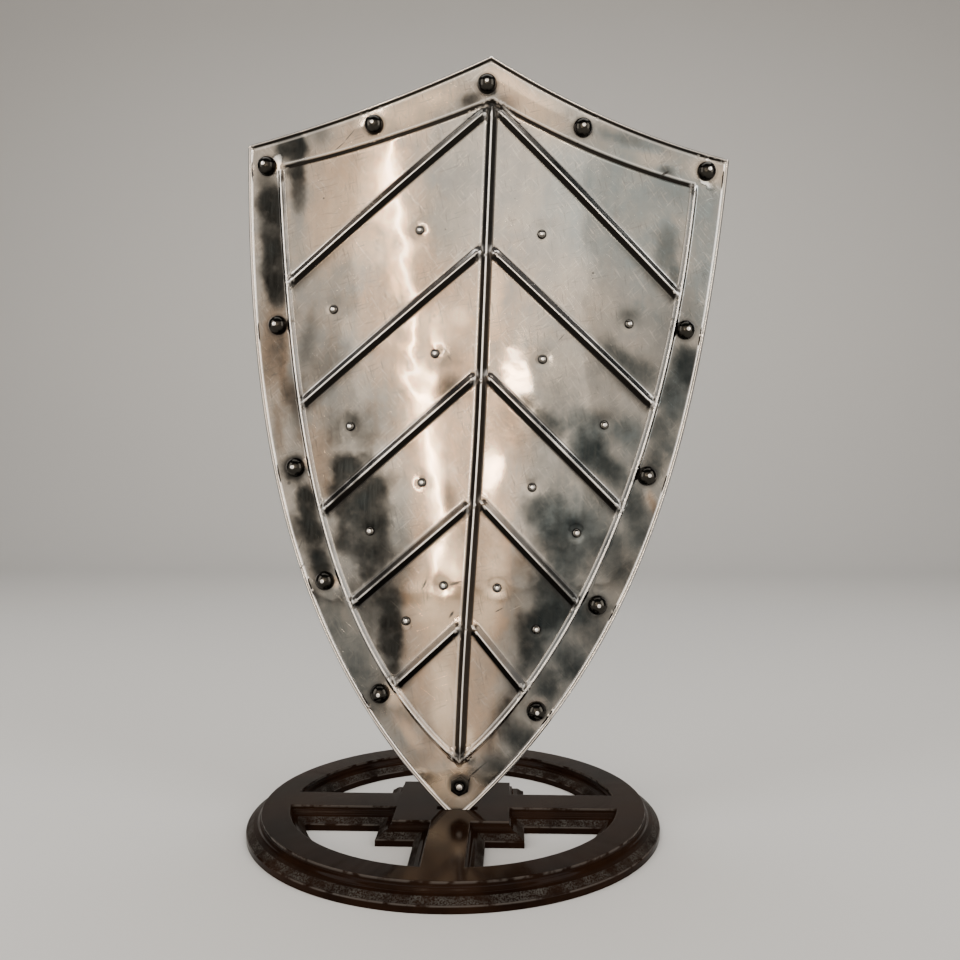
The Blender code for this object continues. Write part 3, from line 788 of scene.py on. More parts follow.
def rim_marks(inward, on_top, heights):
    """Patina with painted shade, a painted highlight line, and the two bright lines of painted highlight,
    along the rolled edge.
    """
    groove = RIM_GROOVE[0]
    outer_line, inner_line = RIM_BEADS
    # Painted shade: a dark hairline on the outer edge, a dark band along the top edges, and patina with
    # painted shade in the side groove, darker low down.
    groove_patina_and_shade = (1 - on_top) * (0.60 - 0.35 * smoothstep(0.28, 0.48, heights))
    patina_and_shade = np.maximum.reduce([
        0.85 * fade(0.0001, 0.0007, inward),
        on_top * smoothstep(0.0019, 0.0023, inward) * fade(0.0040, 0.0046, inward),
        groove_patina_and_shade * line_at(inward, groove, 0.0005),
    ])
    # Painted highlights: a line inside the top edges, and the two beads.
    crest = 0.4 * on_top * line_at(inward, 0.0054, 0.0007)
    rim = np.maximum(line_at(inward, outer_line, 0.0008),
                     (0.85 - 0.25 * on_top) * line_at(inward, inner_line, 0.0006))
    return patina_and_shade, crest, rim


def triangulated(layout, edge_count, bored):
    """The layout's points in the flat, and triangles between them that leave the holes open."""
    edge = [list(range(edge_count))]
    points, _, triangles, _, _, _ = delaunay_2d_cdt(layout.points, layout.edges, edge, 1, 1e-8)
    flat, triangles = np.array([tuple(point) for point in points]), np.array(triangles)
    middles = flat[triangles].mean(axis=1)
    kept = np.ones(len(triangles), bool)
    for centre, radius in bored:
        kept &= from_place(middles, centre)[2] > radius * 0.95
    return flat, triangles[kept]


def shell_mesh(name, front, back, triangles):
    """A closed mesh: the triangles on the front, turned over on the back, and walls along open edges."""
    count = len(front)
    faces = [tuple(t) for t in triangles] + [(a + count, c + count, b + count) for a, b, c in triangles]
    directed = {(a, b) for t in triangles.tolist() for a, b in ((t[0], t[1]), (t[1], t[2]), (t[2], t[0]))}
    open_edges = [(a, b) for a, b in directed if (b, a) not in directed]
    faces += [(b, a, a + count, b + count) for a, b in sorted(open_edges)]
    mesh = bpy.data.meshes.new(name)
    mesh.from_pydata(np.vstack((front, back)).tolist(), [], [tuple(map(int, f)) for f in faces])
    return mesh


def drop_unused(mesh):
    """Takes away the points that no face uses."""
    builder = bmesh.new()
    builder.from_mesh(mesh)
    bmesh.ops.delete(builder, geom=[v for v in builder.verts if not v.link_faces], context="VERTS")
    builder.to_mesh(mesh)
    builder.free()


def plate_mesh():
    sharp = inset(outline(), WITHIN)
    all_ribs = ribs()
    rivets, studs = fastener_places("border_rivet"), fastener_places("field_stud")
    bolt = fastener_places("tip_nut")[0]
    flat, triangles = triangulated(*plate_layout(sharp, all_ribs, rivets, studs, bolt))

    inward, inwards, _, _ = nearest(sharp + [sharp[0]], flat)
    on_top = np.clip(-1.5 * inwards[:, 1], 0.0, 1.0)  # how far the edge close by is a top one
    dark, warm = stains_and_reflections(flat)
    rise, patina_and_shade, crest = press(flat, all_ribs, dark)
    rise = rise + smoothstep(RIM_ROLL, RIM_ROLL + 0.012, inward) * waves(flat)
    hollows = dishes(flat, rivets + [bolt], RIVET_DISH) + dishes(flat, studs, STUD_DISH)
    rise += smoothstep(RIM_ROLL, RIM_ROLL + 0.004, inward) * hollows
    rim_patina_and_shade, rim_crest, rim = rim_marks(inward, on_top, flat[:, 1])
    half = np.maximum(rim_roll(inward, on_top), SHEET / 2)
    groove_at, groove_half, groove_depth = RIM_GROOVE
    groove = groove_depth * line_at(inward, groove_at, groove_half)
    depth = BOW * flat[:, 0] ** 2
    front = np.column_stack((flat[:, 0], depth - half - rise + groove, flat[:, 1]))
    back = np.column_stack((flat[:, 0], depth + half - rise, flat[:, 1]))
    mesh = shell_mesh("shield", front, back, triangles)

    for name, values, back_share in (
        ("front", np.ones(len(flat)), 0.0),
        ("patina_and_shade", np.maximum(patina_and_shade, rim_patina_and_shade), BACK_SHARE),
        ("crest", np.maximum(crest, rim_crest), BACK_SHARE),
        ("dark", np.clip(dark + painted_dent_shading(flat, studs), -1.0, 1.0), BACK_SHARE),
        ("warm", warm, BACK_SHARE),
        ("rim", rim, 1.0),
        ("rivet_shade_ring", shade_ring(flat, rivets + [bolt], RIVET_SHADE_RING), 1.0),
        ("stud_shade_ring", shade_ring(flat, studs, STUD_SHADE_RING), 1.0),
    ):
        store(mesh, name, np.concatenate((values, back_share * values)))
    places = np.column_stack((flat, np.zeros(len(flat))))
    flat_places = mesh.attributes.new("flat", "FLOAT_VECTOR", "POINT")
    flat_places.data.foreach_set("vector", np.vstack((places, places)).astype(np.float32).ravel())
    drop_unused(mesh)
    mesh.transform(POSE)
    mesh.shade_smooth()
    mesh.set_sharp_from_angle(angle=math.radians(52))
    return mesh


# --- node building ---


def colour(red, green, blue):
    return (red, green, blue, 1.0)


class Nodes:
    """A node tree, with a short call for each kind of node that it often gets."""

    def __init__(self, tree, groups=None):
        self.tree = tree
        self.groups = groups

    def join(self, value, socket):
        """Links an output to a socket, or sets the socket to a plain value; None leaves it alone."""
        if isinstance(value, bpy.types.NodeSocket):
            self.tree.links.new(value, socket)
        elif value is not None:
            socket.default_value = value

    def put(self, kind, *values, output=0, named=None, **settings):
        """Adds a node and returns one of its outputs. Values go to its first inputs, or to named ones."""
        made = self.tree.nodes.new(kind)
        for name, value in settings.items():
            setattr(made, name, value)
        for socket, value in zip(made.inputs, values):
            self.join(value, socket)
        for name, value in (named or {}).items():
            self.join(value, made.inputs[name])
        return made.outputs[output]

    def maths(self, operation, *values, clamp=False):
        return self.put("ShaderNodeMath", *values, operation=operation, use_clamp=clamp)

    def vector_maths(self, operation, *values, **settings):
        return self.put("ShaderNodeVectorMath", *values, operation=operation, **settings)

    def times(self, value, *others, clamp=False):
        for other in others:
            value = self.maths("MULTIPLY", value, other, clamp=clamp)
        return value

    def plus(self, a, b, clamp=False):
        return self.maths("ADD", a, b, clamp=clamp)

    def minus(self, a, b, clamp=False):
        return self.maths("SUBTRACT", a, b, clamp=clamp)

    def total(self, start, *parts):
        """The start, plus each part's value times its share."""
        for value, share in parts:
            start = self.plus(start, self.times(value, share))
        return start

    def spread(self, value, low, high):
        """Zero at low and one at high, smoothly between, and level past them."""
        return self.put("ShaderNodeMapRange", value, low, high, 0.0, 1.0, interpolation_type="SMOOTHSTEP")

    def mix(self, share, a, b):
        made = self.tree.nodes.new("ShaderNodeMix")
        made.data_type = "RGBA"
        for index, value in ((0, share), (6, a), (7, b)):
            self.join(value, made.inputs[index])
        return made.outputs[2]

    def layers(self, tone, *rows):
        """Lays colours over the tone, each where its mask is and as strongly as its share."""
        for mask, share, shade in rows:
            tone = self.mix(self.times(mask, share), tone, colour(*shade))
        return tone

    def noise(self, place, scale, detail, roughness=None, output=0):
        return self.put("ShaderNodeTexNoise", place, None, scale, detail, roughness, output=output)

    def read(self, name, output=2):
        """A number that the mesh keeps for each point, or output 1 for a vector."""
        return self.put("ShaderNodeAttribute", attribute_name=name, output=output)

    def here(self):
        """The place in the object's own coordinates."""
        return self.put("ShaderNodeTexCoord", output=3)

    def use(self, group, **values):
        """Places a shared group, with its inputs by name, and returns its value."""
        made = self.tree.nodes.new("ShaderNodeGroup")
        made.node_tree = self.groups[group]
        for name, value in values.items():
            self.join(value, made.inputs[name])
        return made.outputs[0]

    def finish(self, **sockets):
        """Sets or links the shader's sockets, by their names with _ for a space."""
        shader = self.tree.nodes["Principled BSDF"]
        for name, value in sockets.items():
            self.join(value, shader.inputs[name.replace("_", " ")])


def new_group(name, kind, inputs, outputs):
    """A node group with named inputs, each a name, a socket type and a value, and named outputs."""
    tree = bpy.data.node_groups.new(name, kind)
    for label, socket_type, value in inputs:
        socket = tree.interface.new_socket(label, in_out="INPUT", socket_type=socket_type)
        if value is not None:
            socket.default_value = value
    for label, socket_type in outputs:
        tree.interface.new_socket(label, in_out="OUTPUT", socket_type=socket_type)
    given = tree.nodes.new("NodeGroupInput").outputs
    result = tree.nodes.new("NodeGroupOutput").inputs
    return Nodes(tree), given, result


# --- fasteners ---

SINK = 0.0004  # the fasteners sit this deep in their dishes
HEAD_SIDES = (40, 24)  # sides and rings of a head
TAIL_SIDES = (24, 12)
SHANK_SIDES = 20
SHANK_SPARE = 0.0008  # how far a shank runs into its head and tail, both together
LUMP_SCALE = 260.0  # lumps of the noise on a head in a metre


def rivet_tree():
    """Geometry Nodes: a headed rivet at every point, standing along the point's own direction."""
    inputs = [("Places", "NodeSocketGeometry", None)]
    inputs += [(name, "NodeSocketFloat", value) for name, value in RIVET.items()]
    inputs += [("Grip", "NodeSocketFloat", SHEET + 2 * GAP), ("Lean", "NodeSocketFloat", math.radians(1.0)),
               ("Facet Depth", "NodeSocketFloat", 0.00006), ("Seed", "NodeSocketInt", 3),
               ("Finish", "NodeSocketMaterial", None)]
    nodes, given, result = new_group("headed_rivets", "GeometryNodeTree", inputs,
                                     [("Rivets", "NodeSocketGeometry")])
    nodes.tree.is_modifier = True

    def coordinates():
        return nodes.put("ShaderNodeSeparateXYZ", nodes.put("GeometryNodeInputPosition")).node.outputs

    def raised(shape, height):
        up = nodes.put("ShaderNodeCombineXYZ", 0.0, 0.0, height)
        return nodes.put("GeometryNodeTransform", shape, named={"Translation": up})

    def cap(sides, radius, rise, side):
        """Half a ball, closed flat: its upper half for side MAXIMUM, its lower for MINIMUM."""
        ball = nodes.put("GeometryNodeMeshUVSphere", *sides, 1.0)
        x, y, z = coordinates()
        flattened = nodes.put("ShaderNodeCombineXYZ", nodes.times(x, radius), nodes.times(y, radius),
                              nodes.times(nodes.maths(side, z, 0.0), rise))
        return nodes.put("GeometryNodeSetPosition", ball, None, flattened)

    under = nodes.times(given["Grip"], -1.0)
    head = cap(HEAD_SIDES, given["Head Radius"], given["Head Rise"], "MAXIMUM")
    tail = raised(cap(TAIL_SIDES, given["Tail Radius"], given["Tail Rise"], "MINIMUM"), under)
    shank = nodes.put("GeometryNodeMeshCylinder", SHANK_SIDES, 1, 1, given["Shank Radius"],
                      nodes.plus(given["Grip"], SHANK_SPARE))
    shank = raised(shank, nodes.times(under, 0.5))
    union = nodes.put("GeometryNodeMeshBoolean", operation="UNION")
    for shell in (head, shank, tail):
        nodes.join(shell, union.node.inputs["Mesh 2"])
    share_of_height = nodes.maths("DIVIDE", coordinates()[2], given["Head Rise"])
    marked = nodes.put("GeometryNodeStoreNamedAttribute", data_type="FLOAT",
                       named={"Geometry": union, "Name": "height", "Value": share_of_height})

    way = nodes.put("GeometryNodeInputNamedAttribute", "out", data_type="FLOAT_VECTOR")
    stand = nodes.put("FunctionNodeAlignRotationToVector", None, 1.0, way, axis="Z")
    lean = given["Lean"]
    least, most = nodes.times(lean, -1.0), lean
    chance = nodes.put("FunctionNodeRandomValue", nodes.put("ShaderNodeCombineXYZ", least, least, -math.pi),
                       nodes.put("ShaderNodeCombineXYZ", most, most, math.pi), data_type="FLOAT_VECTOR",
                       named={"Seed": given["Seed"]})
    turned = nodes.put("FunctionNodeRotateRotation", stand, nodes.put("FunctionNodeEulerToRotation", chance),
                       rotation_space="LOCAL")
    placed = nodes.put("GeometryNodeInstanceOnPoints",
                       named={"Points": given["Places"], "Instance": marked, "Rotation": turned})
    real = nodes.put("GeometryNodeRealizeInstances", placed)

    lumps = nodes.noise(nodes.put("GeometryNodeInputPosition"), LUMP_SCALE, 1.0)
    lumps = nodes.times(nodes.minus(lumps, 0.5), given["Facet Depth"])
    offset = nodes.vector_maths("SCALE", nodes.put("GeometryNodeInputNormal"), named={"Scale": lumps})
    beaten = nodes.put("GeometryNodeSetPosition", real, None, None, offset)
    smooth = nodes.put("GeometryNodeSetShadeSmooth", beaten)
    finished = nodes.put("GeometryNodeSetMaterial", smooth, None, given["Finish"])
    nodes.join(finished, result["Rivets"])
    return nodes.tree


def way_out(flat):
    """The direction straight out of the plate's front at a place in the flat."""
    return (POSE.to_3x3() @ Vector((2 * BOW * flat.x, -1.0, 0.0))).normalized()


def seat(flat):
    """The point under a fastener's head, on the plate's front."""
    middle = POSE @ Vector((flat.x, BOW * flat.x ** 2, flat.y))
    return middle + way_out(flat) * (SHEET / 2 + GAP - SINK)


def riveted(name, tree, places, sizes, finish, seed):
    """Runs the rivet tree over the places and returns the result as a plain piece."""
    mesh = bpy.data.meshes.new(name + "_places")
    mesh.from_pydata([seat(flat) for flat in places], [], [])
    ways = mesh.attributes.new("out", "FLOAT_VECTOR", "POINT")
    ways.data.foreach_set("vector", [part for flat in places for part in way_out(flat)])
    carrier = add_piece(name + "_places", mesh)
    modifier = carrier.modifiers.new("rivets", "NODES")
    modifier.node_group = tree
    sockets = {item.name: item.identifier for item in tree.interface.items_tree if item.in_out == "INPUT"}
    for label, value in (sizes | {"Seed": seed, "Finish": finish}).items():
        modifier[sockets[label]] = value
    graph = bpy.context.evaluated_depsgraph_get()
    made = bpy.data.meshes.new_from_object(carrier.evaluated_get(graph))
    bpy.data.objects.remove(carrier)
    made.name = name
    made.set_sharp_from_angle(angle=math.radians(40))
    return add_piece(name, made)


def walls(builder, rings):
    """Faces between each ring of points and the next one."""
    for upper, lower in zip(rings, rings[1:]):
        for i in range(len(upper)):
            j = (i + 1) % len(upper)
            builder.faces.new((upper[i], lower[i], lower[j], upper[j]))


def rolled(name, rows):
    """A closed surface through rows of points, each row a ring, the last joined to the first."""
    builder = bmesh.new()
    rings = [[builder.verts.new(point) for point in row] for row in rows]
    walls(builder, rings + rings[:1])
    bmesh.ops.remove_doubles(builder, verts=builder.verts, dist=1e-7)
    bmesh.ops.recalc_face_normals(builder, faces=builder.faces)
    return mesh_from(name, builder)


def ring_row(radius, height, sides):
    angles = [2 * math.pi * i / sides for i in range(sides)]
    return [Vector((radius * math.cos(a), radius * math.sin(a), height)) for a in angles]


def on_tip(mesh, crease):
    """Seats a fastener made upright at the origin on the shield's point; edges past crease stay sharp."""
    flat = fastener_places("tip_nut")[0]
    out = way_out(flat)
    up = (POSE.to_3x3() @ Vector((0.0, 0.0, 1.0))).normalized()
    side = up.cross(out).normalized()
    turn = Matrix((side, out.cross(side), out)).transposed().to_4x4()
    mesh.transform(Matrix.Translation(seat(flat)) @ turn)
    mesh.shade_smooth()
    mesh.set_sharp_from_angle(angle=math.radians(crease))
    return mesh


def nut_mesh():
    """A hexagon nut with turned chamfers and a countersunk bore."""
    sides = 96
    flat_radius = NUT_FLATS / 2
    bore = BOLT_SHANK + GAP
    chamfer = math.tan(math.radians(30))
    chamfer_from, under_chamfer, countersink = 0.93, 0.4, 0.0007

    def hexagon(share, from_top):
        row = []
        for i in range(sides):
            angle = 2 * math.pi * i / sides
            within = (angle + math.pi / 6) % (math.pi / 3) - math.pi / 6
            radius = share * flat_radius / math.cos(within)
            drop = max(0.0, radius - chamfer_from * flat_radius) * chamfer
            height = NUT_HEIGHT - drop if from_top else drop * under_chamfer
            row.append(Vector((radius * math.cos(angle), radius * math.sin(angle), height)))
        return row

    rows = [ring_row(bore, 0.0004, sides), ring_row(bore, NUT_HEIGHT - countersink, sides),
            ring_row(bore + countersink, NUT_HEIGHT, sides)]
    rows += [hexagon(share, True) for share in (0.80, 0.90, 0.96, 0.99)]
    rows += [[Vector((p.x * 1.01, p.y * 1.01, p.z - 0.00012)) for p in hexagon(0.99, True)]]
    rows += [hexagon(1.0, False), hexagon(0.9, False), ring_row(bore + 0.0004, 0.0, sides)]
    return on_tip(rolled("tip_nut", rows), 28)


def bolt_mesh():
    """A bolt end with turned thread grooves, and its plain head behind the plate."""
    sides = 48
    top = GAP + NUT_HEIGHT + BOLT_PROUD
    pitch, groove = 0.0010, 0.0004
    under = -(SHEET + 2 * GAP)
    head, rise = BOLT_HEAD
    sections = [(0.0, top), (0.0012, top - 0.00005), (0.0026, top - 0.0003), (0.0034, top - 0.0008)]
    height = top - 0.0012
    while height > GAP + 2 * pitch:
        sections += [(BOLT_SHANK, height), (BOLT_SHANK - groove, height - pitch / 2)]
        height -= pitch
    sections += [(BOLT_SHANK, height), (BOLT_SHANK, under), (head, under), (head, under - 0.6 * rise),
                 (0.93 * head, under - 0.8 * rise), (0.7 * head, under - rise), (0.0, under - rise)]
    mesh = rolled("tip_bolt", [ring_row(radius, level, sides) for radius, level in sections])
    for face in mesh.polygons:
        face.material_index = int(min(mesh.vertices[i].co.z for i in face.vertices) > top - 0.0004)
    return on_tip(mesh, 35)


# --- the stand ---

# The moulding of every edge: how far it stands out of the top face, its height, and the rounding there.
MOULDING = [(0.0, 0.0180, 0.0007), (0.0, 0.0146, 0.0003), (0.0018, 0.0138, 0.0006), (0.0026, 0.0112, 0.0011),
            (0.0070, 0.0100, 0.0006), (0.0112, 0.0064, 0.0005), (0.0124, 0.0058, 0.0003),
            (0.0130, 0.0052, 0.0004), (0.0130, 0.0, 0.0)]
MOULDING_FILL = 0.0012  # no gap in the moulding's points is wider
RING_SIDES = 512
BLOCK_STEP = 0.0022
TORN_DEPTH = 0.00032  # of the torn grain on the ledge
BRINK_DENT = 0.00020  # of the dents along the lowest edge
EDGE_DENT = 0.00012  # and along the top one


def moulding_line():
    """The moulding's points, with each corner rounded off and long faces filled in."""
    corners = [Vector(corner[:2]) for corner in MOULDING]
    line = [corners[0] + Vector((-0.0007, 0.0))]
    for before, here, after, (_, _, rounding) in zip([line[0]] + corners, corners, corners[1:], MOULDING):
        start = here + (before - here).normalized() * min(rounding, (before - here).length * 0.5)
        end = here + (after - here).normalized() * min(rounding, (after - here).length * 0.5)
        line += [bezier([start, here, end], t) for t in (0.0, 0.33, 0.67, 1.0)]
    line.append(corners[-1])
    filled = [line[0]]
    for a, b in zip(line, line[1:]):
        pieces = max(1, math.ceil((b - a).length / MOULDING_FILL))
        filled += [a.lerp(b, i / pieces) for i in range(1, pieces + 1)]
    apart = [point for point, after in zip(filled, filled[1:]) if (after - point).length > 1e-6]
    return apart + [filled[-1]]


def ring_mesh(profile):
    outer = [(RING_OUTER + out, height) for out, height in profile]
    inner = [(RING_INNER - out, height) for out, height in profile[::-1]]
    return rolled("ring", [ring_row(radius, height, RING_SIDES) for radius, height in outer + inner])


def block_mesh(name, half_x, half_y, profile):
    """A block whose four sides carry the moulding, divided finely along them."""
    columns, rows = round(2 * half_x / BLOCK_STEP), round(2 * half_y / BLOCK_STEP)
    across = [-1 + 2 * i / columns for i in range(columns)]
    along = [-1 + 2 * i / rows for i in range(rows)]
    loop = [(x, -1) for x in across] + [(1, y) for y in along]
    loop += [(-x, 1) for x in across] + [(-1, -y) for y in along]
    builder = bmesh.new()
    layers = []
    for out, height in profile:
        layers.append([builder.verts.new((x * (half_x + out), y * (half_y + out), height)) for x, y in loop])
    walls(builder, layers)
    builder.faces.new(layers[0])
    builder.faces.new(layers[-1][::-1])
    bmesh.ops.recalc_face_normals(builder, faces=builder.faces)
    return mesh_from(name, builder)


def combined(base, tools):
    """The base mesh with each tool added or cut away."""
    target = add_piece(base.name, base)
    helpers = []
    for mesh, operation in tools:
        helper = add_piece(mesh.name, mesh)
        helpers.append(helper)
        change = target.modifiers.new(operation.lower(), "BOOLEAN")
        change.operation = operation
        change.solver = "EXACT"
        change.object = helper
    graph = bpy.context.evaluated_depsgraph_get()
    made = bpy.data.meshes.new_from_object(target.evaluated_get(graph))
    for helper in helpers + [target]:
        bpy.data.objects.remove(helper)
    return made


def stand_out(x, y):
    """How far a point in the plan stands out of the stand's top face."""
    radius = math.hypot(x, y)
    ring = max(radius - RING_OUTER, RING_INNER - radius)
    arms = min(max(abs(x) - ARM_REACH, abs(y) - ARM_HALF), max(abs(x) - ARM_HALF, abs(y) - ARM_REACH))
    pad = max(abs(x), abs(y)) - PAD_HALF
    return min(ring, arms, pad)


def stand_mesh():
    profile = moulding_line()
    tools = [(block_mesh("arm_across", ARM_REACH, ARM_HALF, profile), "UNION"),
             (block_mesh("arm_along", ARM_HALF, ARM_REACH, profile), "UNION"),
             (block_mesh("pad", PAD_HALF, PAD_HALF, profile), "UNION")]
    slot_x, slot_y, slot_depth = SLOT
    straight = [Vector((0.0, BOARD + slot_depth)), Vector((0.0, BOARD - slot_depth))]
    slot = block_mesh("slot", slot_x / 2, slot_y / 2, straight)
    slot.transform(Matrix.Translation((FOOT.x, FOOT.y, 0.0)))
    mesh = combined(ring_mesh(profile), tools + [(slot, "DIFFERENCE")])
    mesh.name = "stand"
    mesh.materials.clear()
    roughen(mesh)
    store(mesh, "stand_out", [stand_out(v.co.x, v.co.y) for v in mesh.vertices])
    mesh.shade_smooth()
    mesh.set_sharp_from_angle(angle=math.radians(38))
    return mesh


def roughen(mesh):
    """The router's torn grain on the ledge, and small dents along the upper and the lowest edge."""
    for vertex in mesh.vertices:
        x, y, z = vertex.co
        if z < 0.0001:
            continue
        out = stand_out(x, y)
        ledge = smoothstep(0.0062, 0.0075, out) * smoothstep(0.0125, 0.0116, out)
        brink = smoothstep(0.0125, 0.0128, out) * smoothstep(0.0035, 0.0048, z)
        edge = smoothstep(-0.0006, -0.0001, out) * smoothstep(0.0012, 0.0004, out)
        edge *= smoothstep(0.0140, 0.0150, z)
        torn = noise.noise(Vector((x, y, z)) * 900) + 0.6 * noise.noise(Vector((x, y, z)) * 2100)
        dents = max(0.0, noise.noise(Vector((x, y, z * 0.4)) * 260))
        down = TORN_DEPTH * ledge * torn - (BRINK_DENT * brink + EDGE_DENT * edge) * dents
        vertex.co.z = min(BOARD, z + float(down))


# --- finishes ---

# Colours of the sheet away from stains, painted reflections, patina and painted shade: browner and cooler,
# and the colours of the stains and painted reflections over them.
SHEET_WARM = (0.39, 0.35, 0.295)
SHEET_COOL = (0.25, 0.25, 0.235)
BRONZED = (0.55, 0.345, 0.195)
BLUED = (0.195, 0.265, 0.285)
# Blackened patina, and painted shade where a flank, groove or edge would mirror dark surroundings.
PATINA_AND_SHADE = (0.013, 0.0115, 0.010)
# A dark for pits, and for the painted shade round the heads.
PIT_AND_SHADE_DARK = (0.015, 0.014, 0.012)
# Painted highlight on crests, glints and the rim's top line.
CREST_HIGHLIGHT = (0.97, 0.93, 0.88)
# Bright steel: worn on the bolt's end, a painted highlight on the heads' tops.
WEAR_AND_HIGHLIGHT = (0.95, 0.92, 0.88)
# Long scratches: the way they run in radians, their colour, and how strongly they show.
STROKES = (
    (0.9, (0.85, 0.76, 0.66), 0.30),
    (-0.8, (0.80, 0.73, 0.64), 0.26),
    (1.35, (0.08, 0.075, 0.065), 0.45),
    (-0.3, (0.09, 0.085, 0.075), 0.40),
)


def value_group(name, **sizes):
    """A shader group that makes one value from a place and some sizes, with its nodes and its ends."""
    inputs = [("Vector", "NodeSocketVector", None)]
    for label, value in sizes.items():
        inputs.append((label, "NodeSocketVector" if isinstance(value, tuple) else "NodeSocketFloat", value))
    nodes, given, result = new_group(name, "ShaderNodeTree", inputs, [("Value", "NodeSocketFloat")])
    return nodes, given, result["Value"]


def cloud_group():
    """Soft smudges of a size, stretched as wanted."""
    nodes, given, result = value_group("smudges", Size=0.03, Contrast=0.3, Stretch=(1.0, 1.0, 1.0))
    place = nodes.vector_maths("MULTIPLY", given["Vector"], given["Stretch"])
    cloud = nodes.noise(place, nodes.maths("DIVIDE", 1.0, given["Size"]), 4.0, 0.55)
    half = nodes.times(given["Contrast"], 0.5)
    nodes.join(nodes.spread(cloud, nodes.minus(0.5, half), nodes.plus(0.5, half)), result)
    return nodes.tree


def scratch_group():
    """Fine scratches that run one way and wander a little."""
    nodes, given, result = value_group("scratches", Turn=0.0, Spacing=0.002, Length=0.05, Amount=0.3)
    turned = nodes.put("ShaderNodeVectorRotate", given["Vector"], rotation_type="Z_AXIS",
                       named={"Angle": given["Turn"]})
    wander = nodes.vector_maths("SCALE", nodes.noise(turned, 9.0, 2.0, output=1), named={"Scale": 0.012})
    stretch = nodes.put("ShaderNodeCombineXYZ", nodes.maths("DIVIDE", 1.0, given["Length"]),
                        nodes.maths("DIVIDE", 1.0, given["Spacing"]), 1.0)
    bent = nodes.vector_maths("ADD", turned, wander)
    lines = nodes.noise(nodes.vector_maths("MULTIPLY", bent, stretch), 1.0, 2.0, 0.6)
    level = nodes.minus(0.78, nodes.times(given["Amount"], 0.2))
    nodes.join(nodes.spread(lines, level, nodes.plus(level, 0.06)), result)
    return nodes.tree


def pit_group():
    """Scattered dark specks."""
    nodes, given, result = value_group("pits", Spacing=0.02, Radius=0.02)
    spacing = nodes.maths("DIVIDE", 1.0, given["Spacing"])
    cells = nodes.put("ShaderNodeTexVoronoi", given["Vector"], None, spacing)
    nodes.join(nodes.spread(cells, given["Radius"], 0.0), result)
    return nodes.tree


def new_finish(name, groups):
    """A new material, and its nodes to build on."""
    made = new_material(name)
    return made, Nodes(made.node_tree, groups)


def nick_mask(nodes, place, nick):
    """Where one nick of the list lies."""
    u, v, turn, half_length, half_width = nick
    from_nick = nodes.vector_maths("SUBTRACT", place, (u / 1000, v / 1000, 0.0))
    turned = nodes.put("ShaderNodeVectorRotate", from_nick, rotation_type="Z_AXIS",
                       named={"Angle": math.radians(-turn)})
    shrunk = nodes.vector_maths("MULTIPLY", turned, (1000 / half_length, 1000 / half_width, 0.0))
    return nodes.spread(nodes.vector_maths("LENGTH", shrunk, output=1), 1.3, 0.5)


